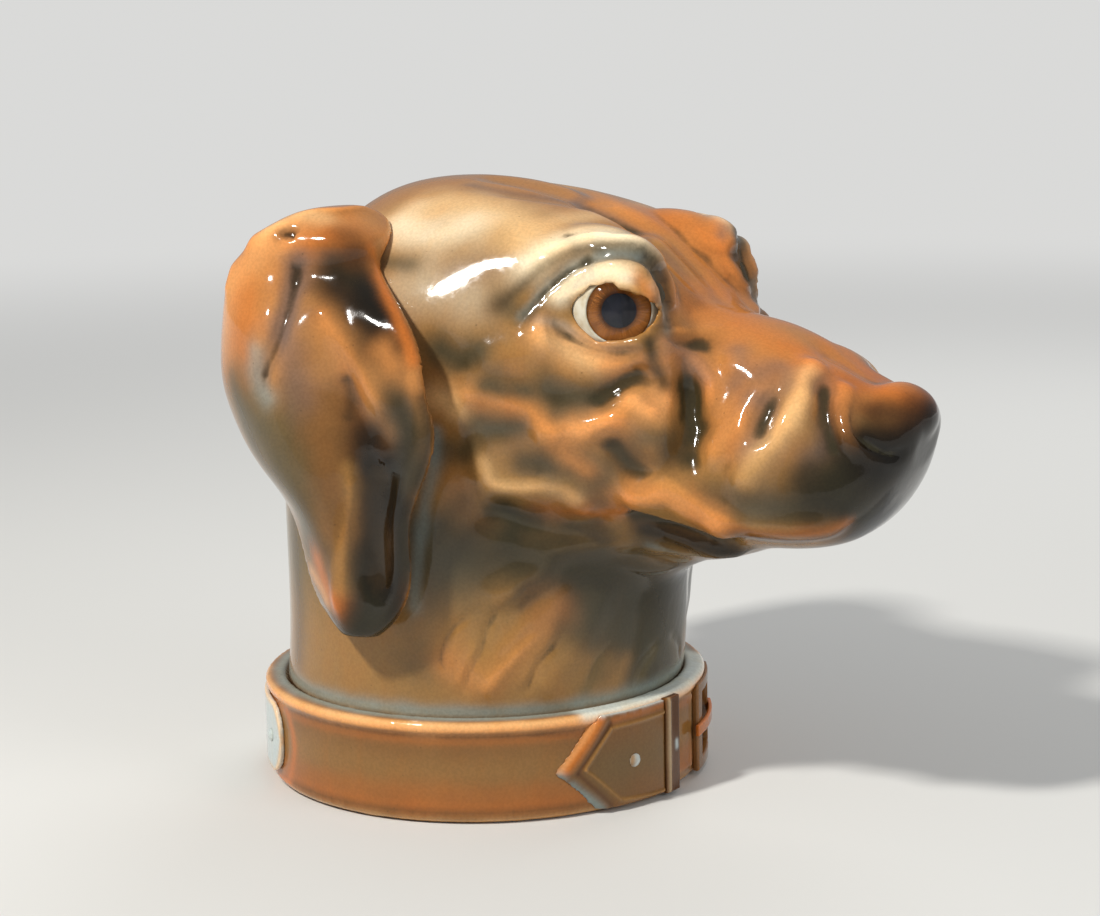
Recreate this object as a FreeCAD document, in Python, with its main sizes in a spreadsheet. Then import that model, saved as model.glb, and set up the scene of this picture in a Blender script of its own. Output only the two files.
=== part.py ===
import FreeCAD, Part
import Sketcher
import math
import os
import re

# A tobacco jar: a hound's head, hollow, is the cover of a low pot made as a strap collar.
# Frame: origin at the centre of the foot on the table, +X the way the dog looks, +Y its left, +Z up.

os.makedirs("parts", exist_ok=True)
doc = FreeCAD.newDocument("TobaccoJar")

# Two edges or places nearer than this, in millimetres, are the same
SAME_PLACE = 1e-4
UP = FreeCAD.Vector(0, 0, 1)
AXIS = FreeCAD.Vector(0, 0, 0)

# Driving sizes, lengths in millimetres and angles in degrees
DRIVING_SIZES = {
    "collar_radius": 53.8,
    "ledge_height": 24.3,
    "ledge_rise": 0.3,
    "bead_height": 2.9,
    "bead_chamfer": 0.8,
    "wall_setback": 0.8,
    "foot_chamfer": 1.2,
    "foot_ring_width": 7.0,
    "foot_recess": 1.6,
    "bead_groove_width": 1.0,
    "bead_groove_depth": 0.5,
    "border_groove_width": 0.8,
    "border_groove_depth": 0.35,
    "border_height": 2.8,
    "seat_height": 22.8,
    "upstand_height": 19.0,
    "upstand_wall": 4.0,
    "upstand_chamfer": 1.2,
    "jar_floor": 6.0,
    "floor_chamfer": 4.0,
    "cover_clearance": 0.6,
    "strap_low": 0.9,
    "strap_high": 23.4,
    "strap_rise": 1.7,
    "strap_sink": 1.0,
    "tip_angle": -42.6,
    "tip_height": 10.9,
    "tip_upper_angle": 10.9,
    "tip_lower_angle": 11.4,
    "tip_bevel": 5.2,
    "strap_end_angle": -9.2,
    "keeper_angle": 5.8,
    "keeper_rise": 0.6,
    "keeper_overhang": 0.3,
    "buckle_start_angle": 9.6,
    "buckle_angle": 24.0,
    "buckle_bar_angle": 4.2,
    "buckle_bar_height": 2.8,
    "buckle_low": 0.9,
    "buckle_high": 22.6,
    "buckle_rise": 1.5,
    "tongue_height": 2.8,
    "tongue_overhang": 2.4,
    "tongue_rise": 1.0,
    "plate_centre_angle": 194.0,
    "plate_angle": 84.0,
    "plate_low": 3.0,
    "plate_high": 20.4,
    "plate_rise": 1.2,
    "plate_corner": 7.2,
    "stud_radius": 1.7,
    "stud_rise": 0.8,
    "stud_angle": -20.1,
    "stud_height": 11.2,
    "rivet_inset_angle": 7.5,
    "neck_setback": 5.4,
    "neck_lean": 1.2,
    "crown_height": 143.8,
    "muzzle_reach": 117.2,
    "head_wall": 4.8,
    "slip_gap": 0.15,
    "nose_half_length": 10.5,
    "nose_half_width": 12.0,
    "nose_half_height": 8.0,
    "nostril_radius": 2.4,
    "nostril_back": 1.0,
    "nostril_drop": 2.6,
    "eye_radius": 12.0,
    "eye_gap": 0.25,
    "glass_gap": 0.03,
    "eye_turn": 60.0,
    "eye_lift": 3.0,
    "eye_back": 2.4,
    "lid_wall": 1.5,
    "brow_half_length": 10.6,
    "brow_half_width": 10.2,
    "brow_half_height": 7.8,
    "brow_lift": 9.0,
    "lid_opening_width": 21.0,
    "lid_opening_height": 12.5,
    "iris_radius": 7.2,
    "iris_depth": 3.2,
    "iris_wall": 0.9,
    "pupil_radius": 3.6,
    "plaster_wall": 6.0,
    "overrun": 20.0,
}

sizes = doc.addObject("Spreadsheet::Sheet", "Sizes")
for row, (alias, value) in enumerate(DRIVING_SIZES.items(), start=1):
    sizes.set(f"A{row}", alias)
    sizes.set(f"B{row}", str(value))
    sizes.setAlias(f"B{row}", alias)
doc.recompute()


def size(alias):
    """The value of one driving size."""
    return float(sizes.get(alias))


def bound(expression):
    """An expression in which each driving size is named by its alias alone."""
    def with_sheet(match):
        word = match.group()
        return f"Sizes.{word}" if word in DRIVING_SIZES else word
    return re.sub(r"[a-z_]+", with_sheet, expression)


def worked_out(expression):
    """The plain number that an expression of driving sizes comes to."""
    result = sizes.evalExpression(bound(expression))
    return float(getattr(result, "Value", result))


def bind(item, **expressions):
    """Tie properties of a document object to expressions of the driving sizes."""
    for prop, expression in expressions.items():
        item.setExpression(prop.replace("__", "."), bound(expression))


# Lengths that several pieces share
WALL_RADIUS = "(collar_radius - wall_setback)"
BEAD_TOP = "(ledge_height - ledge_rise)"
BEAD_LOW = f"({BEAD_TOP} - bead_height)"
STRAP_RADIUS = f"({WALL_RADIUS} + strap_rise)"
FOOT_RING_RADIUS = f"({WALL_RADIUS} - foot_chamfer - foot_ring_width)"
NECK_RADIUS = "(collar_radius - neck_setback)"
REBATE_RADIUS = f"({NECK_RADIUS} + cover_clearance)"
UPSTAND_RADIUS = f"({NECK_RADIUS} - head_wall - cover_clearance)"
JAR_BORE = f"({UPSTAND_RADIUS} - upstand_wall)"
UPSTAND_TOP = "(seat_height + upstand_height)"


# Collar base: one thrown pot with foot, strap panel, bead, ledge, rebate and upstand

def xz_plane(body):
    """The body's own upright plane through X and Z."""
    return next(item for item in body.Origin.OriginFeatures if item.Role == "XZ_Plane")


def upright_sketch(body, name):
    """An empty sketch on the body's XZ plane."""
    sketch = body.newObject("Sketcher::SketchObject", name)
    sketch.AttachmentSupport = (xz_plane(body), [""])
    sketch.MapMode = "FlatFace"
    return sketch


def place_point(sketch, curve, point, across, up):
    """Tie one point of a sketch to expressions for its distance across and up."""
    for kind, expression in (("DistanceX", across), ("DistanceY", up)):
        value = worked_out(expression)
        index = sketch.addConstraint(Sketcher.Constraint(kind, -1, 1, curve, point, value))
        if expression != "0":
            sketch.setExpression(f"Constraints[{index}]", bound(expression))


def outline(sketch, corners):
    """A closed outline of straight lines through corners given as expressions."""
    places = [FreeCAD.Vector(worked_out(x), worked_out(z), 0) for x, z in corners]
    for index, place in enumerate(places):
        after = places[(index + 1) % len(places)]
        sketch.addGeometry(Part.LineSegment(place, after), False)
    for index in range(len(places)):
        after = (index + 1) % len(places)
        sketch.addConstraint(Sketcher.Constraint("Coincident", index, 2, after, 1))
    for index, (across, up) in enumerate(corners):
        place_point(sketch, index, 1, across, up)


def rings_at(shape, radius, height):
    """Names of the circular edges of a turned shape at one radius and height."""
    names = []
    for number, edge in enumerate(shape.Edges, start=1):
        curve = edge.Curve
        if not isinstance(curve, Part.Circle):
            continue
        if abs(curve.Radius - radius) < SAME_PLACE and abs(curve.Center.z - height) < SAME_PLACE:
            names.append(f"Edge{number}")
    return names


def chamfer_rings(body, name, base, width, rings):
    """Chamfer rings of a turned body, each ring given as expressions for radius and height."""
    names = []
    for ring_radius, ring_height in rings:
        names += rings_at(base.Shape, worked_out(ring_radius), worked_out(ring_height))
    chamfer = body.newObject("PartDesign::Chamfer", name)
    chamfer.Base = (base, names)
    bind(chamfer, Size=width)
    doc.recompute()
    return chamfer


def notch(centre, width, depth):
    """Corners of a groove pressed into the collar's wall, from its lower edge to its upper one."""
    return [
        (WALL_RADIUS, f"{centre} - {width} / 2"),
        (f"{WALL_RADIUS} - {depth}", centre),
        (WALL_RADIUS, f"{centre} + {width} / 2"),
    ]


def make_collar_base():
    """The pot: everything below the dog's neck, with the upstand that centres the cover."""
    body = doc.addObject("PartDesign::Body", "collar_base")
    body.Label = "collar_base"
    section = upright_sketch(body, "collar_section")
    outline(section, [
        ("0", "foot_recess"),
        (FOOT_RING_RADIUS, "foot_recess"),
        (FOOT_RING_RADIUS, "0"),
        (f"{WALL_RADIUS} - foot_chamfer", "0"),
        (WALL_RADIUS, "foot_chamfer"),
    ] + notch("border_height", "border_groove_width", "border_groove_depth")
      + notch(f"({BEAD_LOW} - bead_groove_width / 2)", "bead_groove_width", "bead_groove_depth") + [
        ("collar_radius", f"{BEAD_LOW} + bead_chamfer"),
        ("collar_radius", f"{BEAD_TOP} - bead_chamfer"),
        ("collar_radius - bead_chamfer", BEAD_TOP),
        (REBATE_RADIUS, "ledge_height"),
        (REBATE_RADIUS, "seat_height"),
        (UPSTAND_RADIUS, "seat_height"),
        (UPSTAND_RADIUS, UPSTAND_TOP),
        (JAR_BORE, UPSTAND_TOP),
        (JAR_BORE, "jar_floor"),
        ("0", "jar_floor"),
    ])
    turned = body.newObject("PartDesign::Revolution", "collar_turned")
    turned.Profile = section
    turned.ReferenceAxis = (section, ["V_Axis"])
    turned.Angle = 360
    doc.recompute()
    lip = chamfer_rings(body, "upstand_chamfers", turned, "upstand_chamfer", [
        (UPSTAND_RADIUS, UPSTAND_TOP),
        (JAR_BORE, UPSTAND_TOP),
    ])
    body.Tip = chamfer_rings(body, "floor_corner", lip, "floor_chamfer", [(JAR_BORE, "jar_floor")])
    doc.recompute()
    return body


# Sprigs: thin clay pieces laid on the collar's wall

def sector(name, radius, low, high, start, turn):
    """A solid sector of the collar's round, all of whose sizes are expressions."""
    block = doc.addObject("Part::Cylinder", name)
    some_turn = 1
    block.Placement = FreeCAD.Placement(AXIS, FreeCAD.Rotation(UP, some_turn))
    bind(block, Radius=radius, Height=f"{high} - ({low})", Angle=turn,
         Placement__Base__z=low, Placement__Rotation__Angle=start)
    return block


def boolean(kind, name, base, tool):
    """A boolean of two document objects, as a document object."""
    item = doc.addObject(kind, name)
    item.Base = base
    item.Tool = tool
    return item


def band(name, inner, outer, low, high, start, turn):
    """A piece of a band that lies round the collar from one radius out to another."""
    block = sector(f"{name}_block", outer, low, high, start, turn)
    core = sector(f"{name}_core", inner, f"{low} - overrun", f"{high} + overrun", "0", "360")
    return boolean("Part::Cut", name, block, core)


def named(item, label):
    """Give a finished sub-part the label that names its file."""
    item.Label = label
    return item


def on_round(radius, angle, height):
    """The point at one radius, angle and height about the jar's axis."""
    turn = math.radians(angle)
    return FreeCAD.Vector(radius * math.cos(turn), radius * math.sin(turn), height)


def bevel_cutter(name, edge_low, edge_high, inner):
    """A block whose one face runs through an edge on the panel and a point on the strap's face."""
    along = (edge_high - edge_low).normalize()
    normal = along.cross(inner - edge_low).normalize()
    outward = FreeCAD.Vector(edge_low.x, edge_low.y, 0)
    if normal.dot(outward) < 0:
        normal = normal * -1
    side = size("overrun") * 2
    cutter = doc.addObject("Part::Box", name)
    for prop in ("Length", "Width", "Height"):
        bind(cutter, **{prop: "overrun * 2"})
    turn = FreeCAD.Rotation(along, AXIS, normal, "ZXY")
    middle = (edge_low + edge_high) * 0.5
    cutter.Placement = FreeCAD.Placement(middle - turn.multVec(FreeCAD.Vector(side, side, 0) * 0.5), turn)
    return cutter


def seated(name, piece, base):
    """A piece cut away where the collar's own relief stands, so that it seats on it."""
    seat = doc.addObject("Part::Feature", f"{name}_seat")
    seat.Shape = base.Shape
    return boolean("Part::Cut", f"{name}_seated", piece, seat)


def make_strap_tip(base):
    """The pointed, bevelled end of the strap, which lies over the wall and the bead."""
    part = band("strap_layer", f"{WALL_RADIUS} - strap_sink", STRAP_RADIUS, "strap_low", "strap_high",
                "tip_angle", "strap_end_angle - tip_angle")
    wall = worked_out(WALL_RADIUS)
    face = worked_out(STRAP_RADIUS)
    bevel_angle = math.degrees(size("tip_bevel") / face)
    tip = on_round(wall, size("tip_angle"), size("tip_height"))
    inner = on_round(face, size("tip_angle") + bevel_angle, size("tip_height"))
    upper = on_round(wall, worked_out("tip_angle + tip_upper_angle"), size("strap_high"))
    lower = on_round(wall, worked_out("tip_angle + tip_lower_angle"), size("strap_low"))
    for name, corner in (("upper_bevel", upper), ("lower_bevel", lower)):
        cutter = bevel_cutter(name, tip, corner, inner)
        part = boolean("Part::Cut", f"strap_{name}", part, cutter)
    return named(seated("strap_tip", part, base), "strap_tip")


def make_strap_keeper(base):
    """The loop that holds the strap's end."""
    part = band("keeper_band", f"{WALL_RADIUS} - strap_sink", f"{STRAP_RADIUS} + keeper_rise",
                "strap_low - keeper_overhang", "strap_high + keeper_overhang",
                "strap_end_angle", "keeper_angle")
    return named(seated("keeper", part, base), "strap_keeper")


def make_buckle_frame(base):
    """The four-sided buckle frame on the front of the collar."""
    block = band("buckle_block", WALL_RADIUS, f"{WALL_RADIUS} + buckle_rise",
                 "buckle_low", "buckle_high", "buckle_start_angle", "buckle_angle")
    window = sector("buckle_window", f"{WALL_RADIUS} + overrun", "buckle_low + buckle_bar_height",
                    "buckle_high - buckle_bar_height", "buckle_start_angle + buckle_bar_angle",
                    "buckle_angle - 2 * buckle_bar_angle")
    frame = boolean("Part::Cut", "buckle_cut", block, window)
    return named(seated("buckle", frame, base), "buckle_frame")


def make_buckle_tongue():
    """The prong, which crosses the buckle, rests on both upright bars and overhangs the first."""
    middle = "(buckle_low + buckle_high) / 2"
    face = f"{WALL_RADIUS} + buckle_rise"
    prong = band("tongue_band", face, f"{face} + tongue_rise", f"{middle} - tongue_height / 2",
                 f"{middle} + tongue_height / 2", "buckle_start_angle - tongue_overhang",
                 "buckle_angle + tongue_overhang")
    return named(prong, "buckle_tongue")


def button_group(name, places, seat_radius, label):
    """Dome-headed buttons seated on the round of the given radius, as one group."""
    buttons = []
    for number, (angle, height) in enumerate(places, start=1):
        ball = doc.addObject("Part::Sphere", f"{name}_{number}")
        dome = "(stud_radius * stud_radius + stud_rise * stud_rise) / (2 * stud_rise)"
        bind(ball, Radius=dome)
        reach = worked_out(f"{seat_radius} + stud_rise - {dome}")
        ball.Placement.Base = on_round(reach, worked_out(angle), worked_out(height))
        buttons.append(ball)
    core = sector(f"{name}_core", seat_radius, "0 - overrun", "ledge_height + overrun", "0", "360")
    gathered = doc.addObject("Part::Compound", f"{name}_gathered")
    gathered.Links = buttons
    return named(boolean("Part::Cut", f"{name}_cut", gathered, core), label)


def make_strap_stud():
    """The stud inside the strap's pointed end."""
    return button_group("strap_stud", [("stud_angle", "stud_height")], STRAP_RADIUS, "strap_stud")


def make_name_plate():
    """The bare plate let on to the back of the collar, with rounded ends."""
    plain = band("plate_band", WALL_RADIUS, f"{WALL_RADIUS} + plate_rise", "plate_low", "plate_high",
                 "plate_centre_angle - plate_angle / 2", "plate_angle")
    doc.recompute()
    rounded = doc.addObject("Part::Fillet", "plate_rounded")
    rounded.Base = plain
    corners = []
    for number, edge in enumerate(plain.Shape.Edges, start=1):
        across = edge.Vertexes[-1].Point - edge.Vertexes[0].Point
        radial = abs(across.z) < SAME_PLACE and abs(across.Length - size("plate_rise")) < SAME_PLACE
        if radial:
            corners.append((number, size("plate_corner"), size("plate_corner")))
    rounded.Edges = corners
    return named(rounded, "name_plate")


def make_plate_rivets():
    """One rivet near each end of the plate."""
    middle = "(plate_low + plate_high) / 2"
    places = [(f"plate_centre_angle + {sign} * (plate_angle / 2 - rivet_inset_angle)", middle)
              for sign in (1, -1)]
    return button_group("rivet", places, f"({WALL_RADIUS} + plate_rise)", "plate_rivets")


# Head: sections that fan round the throat, from the neck's foot to the nose

# How far each level of a section lies from its lowest to its highest point
LEVEL_SHARES = (0.04, 0.15, 0.32, 0.5, 0.68, 0.85, 0.96)

# Each station: x of its lowest point, z of it, x of its highest point, z of it, then the half-width
# at each level. x: -1 back of the neck, 1 its front, 2 nose tip. z: 0 seat, 1 crown.
# Half-widths are shares of the neck's radius.
STATION_SHARES = (
    (1.000, 0.000, -1.000, 0.000, (0.392, 0.714, 0.933, 1.000, 0.933, 0.714, 0.392)),
    (1.005, 0.120, -1.000, 0.128, (0.385, 0.712, 0.933, 1.000, 0.933, 0.714, 0.392)),
    (1.036, 0.219, -1.010, 0.285, (0.347, 0.673, 0.920, 1.000, 0.937, 0.714, 0.378)),
    (1.087, 0.250, -1.020, 0.450, (0.306, 0.612, 0.898, 0.990, 0.939, 0.714, 0.378)),
    (1.138, 0.265, -0.980, 0.649, (0.286, 0.592, 0.867, 0.959, 0.939, 0.735, 0.408)),
    (1.174, 0.273, -0.837, 0.831, (0.286, 0.571, 0.837, 0.929, 0.939, 0.776, 0.408)),
    (1.203, 0.278, -0.551, 0.950, (0.296, 0.571, 0.816, 0.908, 0.929, 0.755, 0.367)),
    (1.232, 0.281, -0.163, 0.996, (0.306, 0.571, 0.796, 0.878, 0.888, 0.714, 0.388)),
    (1.261, 0.284, 0.245, 0.988, (0.316, 0.561, 0.755, 0.816, 0.806, 0.714, 0.449)),
    (1.290, 0.288, 0.612, 0.955, (0.327, 0.561, 0.714, 0.745, 0.714, 0.694, 0.531)),
    (1.326, 0.293, 0.918, 0.905, (0.337, 0.561, 0.663, 0.663, 0.602, 0.622, 0.531)),
    (1.362, 0.300, 1.130, 0.820, (0.337, 0.551, 0.622, 0.592, 0.520, 0.500, 0.388)),
    (1.406, 0.308, 1.240, 0.769, (0.327, 0.541, 0.602, 0.551, 0.469, 0.378, 0.214)),
    (1.478, 0.320, 1.395, 0.744, (0.316, 0.531, 0.592, 0.551, 0.469, 0.367, 0.214)),
    (1.580, 0.325, 1.540, 0.717, (0.306, 0.520, 0.582, 0.551, 0.480, 0.367, 0.214)),
    (1.672, 0.333, 1.681, 0.678, (0.296, 0.500, 0.551, 0.531, 0.480, 0.367, 0.204)),
    (1.761, 0.351, 1.806, 0.640, (0.265, 0.439, 0.490, 0.469, 0.418, 0.316, 0.184)),
    (1.836, 0.388, 1.896, 0.628, (0.214, 0.337, 0.388, 0.367, 0.327, 0.255, 0.153)),
    (1.896, 0.434, 1.963, 0.612, (0.143, 0.235, 0.265, 0.265, 0.245, 0.194, 0.112)),
    (1.948, 0.488, 1.993, 0.574, (0.061, 0.102, 0.133, 0.133, 0.122, 0.092, 0.051)),
)
HOLLOW_STATIONS = 17
HOLLOW_STRIDE = 2
# The neck leans forward of the collar from its foot up to this share of the cover's height
LEAN_SHARE = 0.12
# The eyes and the nose keep their place on the head: along it, up it, and aside in neck radii
EYE_FORWARD_SHARE = 0.9856
EYE_UP_SHARE = 0.7743
EYE_ASIDE_SHARE = 0.4023
NOSE_UP_SHARE = 0.577
# The lobe of the forehead over each eye: forward, up and aside, then its half-sizes in neck radii
LOBE_SHARES = (0.830, 0.860, 0.390, 0.320, 0.205, 0.172)

# The relief of the skin: swellings and hollows on the right side, mirrored to the left. Each: its
# half-width and how far it swells, or sinks where negative, in neck radii, then the places it runs
# through in the side view, forward and up.
RELIEF_SHARES = (
    # round the eye: bag, corner ridges, valley
    (0.120, 0.035, ((0.795, 0.746), (0.871, 0.728), (0.990, 0.702), (1.057, 0.687), (1.133, 0.682))),
    (0.110, 0.037, ((1.184, 0.700), (1.208, 0.661), (1.235, 0.621))),
    (0.100, 0.024, ((1.200, 0.712), (1.259, 0.689), (1.329, 0.642), (1.342, 0.600))),
    (0.110, -0.037, ((1.156, 0.678), (1.102, 0.655), (1.052, 0.625))),
    # front of the cheek, and the hollows before, behind and under it
    (0.210, 0.050, ((1.118, 0.603), (1.193, 0.576), (1.250, 0.552))),
    (0.150, -0.060, ((1.275, 0.630), (1.300, 0.582), (1.296, 0.530))),
    (0.150, -0.031, ((0.893, 0.625), (1.030, 0.629))),
    (0.140, -0.041, ((1.088, 0.541), (1.117, 0.513), (1.157, 0.487))),
    # muzzle
    (0.130, 0.024, ((1.406, 0.683), (1.550, 0.659))),
    (0.130, 0.031, ((1.512, 0.622), (1.464, 0.578), (1.401, 0.533))),
    (0.100, -0.031, ((1.560, 0.609), (1.553, 0.569))),
    (0.100, 0.020, ((1.506, 0.561), (1.494, 0.533))),
    (0.130, 0.047, ((1.640, 0.669), (1.647, 0.627), (1.620, 0.583), (1.572, 0.535), (1.524, 0.488))),
    (0.110, -0.037, ((1.705, 0.632), (1.738, 0.592), (1.775, 0.547))),
    (0.090, 0.035, ((1.750, 0.635), (1.780, 0.600), (1.822, 0.555))),
    # lips and the pocket at the corner of the mouth
    (0.130, 0.045, ((1.147, 0.443), (1.254, 0.452), (1.331, 0.426), (1.426, 0.400))),
    (0.120, 0.025, ((1.426, 0.400), (1.553, 0.392), (1.687, 0.395), (1.780, 0.402))),
    (0.100, -0.070, ((1.105, 0.385), (1.193, 0.374), (1.300, 0.362), (1.400, 0.352))),
    (0.100, 0.030, ((1.110, 0.330), (1.200, 0.325), (1.300, 0.325), (1.400, 0.330))),
    # cheek and jaw
    (0.120, 0.041, ((0.534, 0.485), (0.577, 0.453), (0.712, 0.453), (0.841, 0.451), (0.935, 0.427))),
    (0.140, -0.039, ((0.567, 0.400), (0.695, 0.384))),
    (0.120, 0.020, ((0.720, 0.411), (0.879, 0.410))),
    (0.120, 0.031, ((0.486, 0.640), (0.667, 0.611), (0.827, 0.575), (1.004, 0.568), (1.075, 0.583))),
    (0.110, 0.025, ((0.836, 0.547), (0.859, 0.509), (0.900, 0.469), (0.940, 0.435))),
    (0.110, 0.022, ((0.566, 0.537), (0.696, 0.526), (0.810, 0.555))),
    (0.120, -0.020, ((0.524, 0.565), (0.699, 0.568))),
    (0.160, -0.022, ((0.326, 0.520), (0.450, 0.518))),
    (0.160, 0.027, ((0.282, 0.613), (0.413, 0.612))),
    (0.150, 0.027, ((0.571, 0.696), (0.732, 0.718))),
    (0.170, -0.025, ((0.330, 0.700), (0.440, 0.685))),
    # throat and neck
    (0.120, 0.027, ((0.736, 0.322), (0.867, 0.334), (1.036, 0.338))),
    (0.120, 0.031, ((0.566, 0.246), (0.640, 0.273), (0.730, 0.285))),
    (0.140, 0.022, ((0.780, 0.229), (0.676, 0.157), (0.530, 0.080))),
    (0.140, 0.022, ((0.902, 0.219), (0.839, 0.147), (0.740, 0.080))),
)
# The furrow down the middle of the skull: its half-width and depth in neck radii, and the places it
# runs through along the head
FURROW_SHARES = (0.170, -0.033, (0.150, 0.400, 0.640, 0.860))
# The normals of the head's skin point inwards
OUTWARD = -1
# How many places round the head and how many sections along it carry the relief
RELIEF_PLACES = 112
RELIEF_SECTIONS = 96


def along(share, height):
    """A place along the head: the neck out to a share of 1, the muzzle from there to 2."""
    neck = worked_out(NECK_RADIUS)
    lean = size("neck_lean") * min(height / LEAN_SHARE, 1)
    if share <= 1:
        return lean + share * neck
    return lean + neck + (share - 1) * (size("muzzle_reach") - size("neck_lean") - neck)


def upward(share):
    """A height between the cover's seat and the crown."""
    return size("seat_height") + share * (size("crown_height") - size("seat_height"))


def shared_stops(rows):
    """Stops from 0 to 1 along rows of points, spaced as the rows are on average."""
    travel = [0.0]
    for index in range(len(rows[0]) - 1):
        step = sum((row[index + 1] - row[index]).Length for row in rows) / len(rows)
        travel.append(travel[-1] + step)
    return [distance / travel[-1] for distance in travel]


def closed_curve(points, stops):
    """A closed smooth curve that reaches its points at the given stops."""
    curve = Part.BSplineCurve()
    curve.interpolate(Points=points, PeriodicFlag=True, Parameters=stops)
    return curve


def open_curve(points, stops):
    """An open smooth curve that reaches its points at the given stops."""
    curve = Part.BSplineCurve()
    curve.interpolate(Points=points, Parameters=stops)
    return curve


def skin_surface(sections):
    """The smooth surface through closed sections, and its first and last curves."""
    around = shared_stops([section + section[:1] for section in sections])
    curves = [closed_curve(points, around) for points in sections]
    poles = [curve.getPoles() for curve in curves]
    threads = [list(thread) for thread in zip(*poles)]
    lengthwise = shared_stops(threads)
    lines = [open_curve(thread, lengthwise) for thread in threads]
    surface = Part.BSplineSurface()
    surface.buildFromPolesMultsKnots(
        [line.getPoles() for line in lines],
        curves[0].getMultiplicities(), lines[0].getMultiplicities(),
        curves[0].getKnots(), lines[0].getKnots(),
        True, False, curves[0].Degree, lines[0].Degree)
    return surface, (curves[0], curves[-1])


def skinned(sections):
    """A solid whose side passes smoothly through closed sections, with flat ends."""
    surface, curves = skin_surface(sections)
    ends = [Part.Face(Part.Wire([curve.toShape()])) for curve in curves]
    shell = Part.Shell([surface.toShape()] + ends)
    shell.sewShape()
    solid = Part.Solid(shell)
    if solid.Volume < 0:
        solid.reverse()
    return solid


def head_section(station, growth):
    """One section of the head, grown outwards, or inwards where growth is negative."""
    bottom_x, bottom_z, top_x, top_z, width_shares = station
    bottom = FreeCAD.Vector(along(bottom_x, bottom_z), 0, upward(bottom_z))
    top = FreeCAD.Vector(along(top_x, top_z), 0, upward(top_z))
    rise = (top - bottom).normalize()
    bottom = bottom - rise * growth
    top = top + rise * growth
    widest = max(width_shares) * worked_out(NECK_RADIUS)
    swell = worked_out(NECK_RADIUS) * (widest + growth) / widest
    sides = [(bottom + (top - bottom) * level, swell * share)
             for level, share in zip(LEVEL_SHARES, width_shares)]
    right = [place - FreeCAD.Vector(0, half, 0) for place, half in sides]
    left = [place + FreeCAD.Vector(0, half, 0) for place, half in reversed(sides)]
    return [bottom] + right + [top] + left


def head_form(growth, stations):
    """The head's smooth mass through the given stations, grown outwards or inwards."""
    return skinned([head_section(station, growth) for station in stations])


def ellipsoid(centre, half_x, half_y, half_z):
    """A solid ellipsoid."""
    ball = Part.makeSphere(half_z)
    stretch = FreeCAD.Matrix()
    stretch.scale(half_x / half_z, half_y / half_z, 1)
    ball = ball.transformGeometry(stretch)
    ball.translate(centre)
    return ball


def eye_centre(sign):
    """The middle of the eyeball on one side."""
    return FreeCAD.Vector(along(EYE_FORWARD_SHARE, EYE_UP_SHARE),
                          sign * EYE_ASIDE_SHARE * worked_out(NECK_RADIUS), upward(EYE_UP_SHARE))


def eye_frame(sign):
    """The eye's place, turned so that its own Z axis looks out of the head."""
    turn = math.radians(size("eye_turn"))
    lift = math.radians(size("eye_lift"))
    gaze = FreeCAD.Vector(math.cos(turn) * math.cos(lift), sign * math.sin(turn) * math.cos(lift),
                          math.sin(lift))
    return FreeCAD.Placement(eye_centre(sign), FreeCAD.Rotation(AXIS, UP, gaze, "ZYX"))


def lid_opening():
    """The almond between the lids, as a prism along the eye's own Z axis."""
    half_width = size("lid_opening_width") / 2
    half_height = size("lid_opening_height") / 2
    left = FreeCAD.Vector(-half_width, 0, 0)
    right = FreeCAD.Vector(half_width, 0, 0)
    upper = Part.Arc(left, FreeCAD.Vector(0, half_height, 0), right).toShape()
    lower = Part.Arc(right, FreeCAD.Vector(0, -half_height, 0), left).toShape()
    return Part.Face(Part.Wire([upper, lower])).extrude(FreeCAD.Vector(0, 0, size("overrun")))


def placed(shape, placement):
    """A copy of a shape, moved into place."""
    moved = shape.copy()
    moved.Placement = placement.multiply(moved.Placement)
    return moved


def nose_centre():
    """The middle of the nose's rounded end."""
    return FreeCAD.Vector(size("muzzle_reach") - size("nose_half_length"), 0, upward(NOSE_UP_SHARE))


def make_nose():
    """The nose's rounded end."""
    return ellipsoid(nose_centre(), size("nose_half_length"), size("nose_half_width"),
                     size("nose_half_height"))


def make_nostril(sign):
    """The hollow of one nostril, half sunk in the nose's side."""
    side = sign * (size("nose_half_width") - size("nostril_radius") / 2)
    hole = Part.makeSphere(size("nostril_radius"))
    hole.translate(nose_centre() + FreeCAD.Vector(-size("nostril_back"), side, -size("nostril_drop")))
    return hole


def skin_place(head, start, stop):
    """Where a line from outside first meets the head's skin."""
    inside = head.common(Part.makeLine(start, stop))
    if not inside.Vertexes:
        raise ValueError("the line from {} to {} misses the head".format(start, stop))
    return min((vertex.Point for vertex in inside.Vertexes), key=start.distanceToPoint)


def relief_rows():
    """Each swelling or hollow of the right side: half-width, amount and its places on the skin."""
    neck = worked_out(NECK_RADIUS)
    head = head_form(0, STATION_SHARES)
    rows = []
    for half_width, amount, run in RELIEF_SHARES:
        places = []
        for share, up in run:
            inner = FreeCAD.Vector(along(share, up), 0, upward(up))
            places.append(skin_place(head, inner - FreeCAD.Vector(0, neck * 2, 0), inner))
        rows.append((half_width * neck, amount * neck, places))
    half_width, amount, run = FURROW_SHARES
    places = []
    for share in run:
        inner = FreeCAD.Vector(along(share, 1), 0, upward(NOSE_UP_SHARE))
        places.append(skin_place(head, inner + UP * neck * 2, inner))
    rows.append((half_width * neck, amount * neck, places))
    return rows


def way_off(place, start, stop):
    """The distance from a place to the straight line between two others."""
    ahead = stop - start
    share = (place - start).dot(ahead) / ahead.dot(ahead)
    return place.distanceToPoint(start + ahead * min(max(share, 0), 1))


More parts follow.
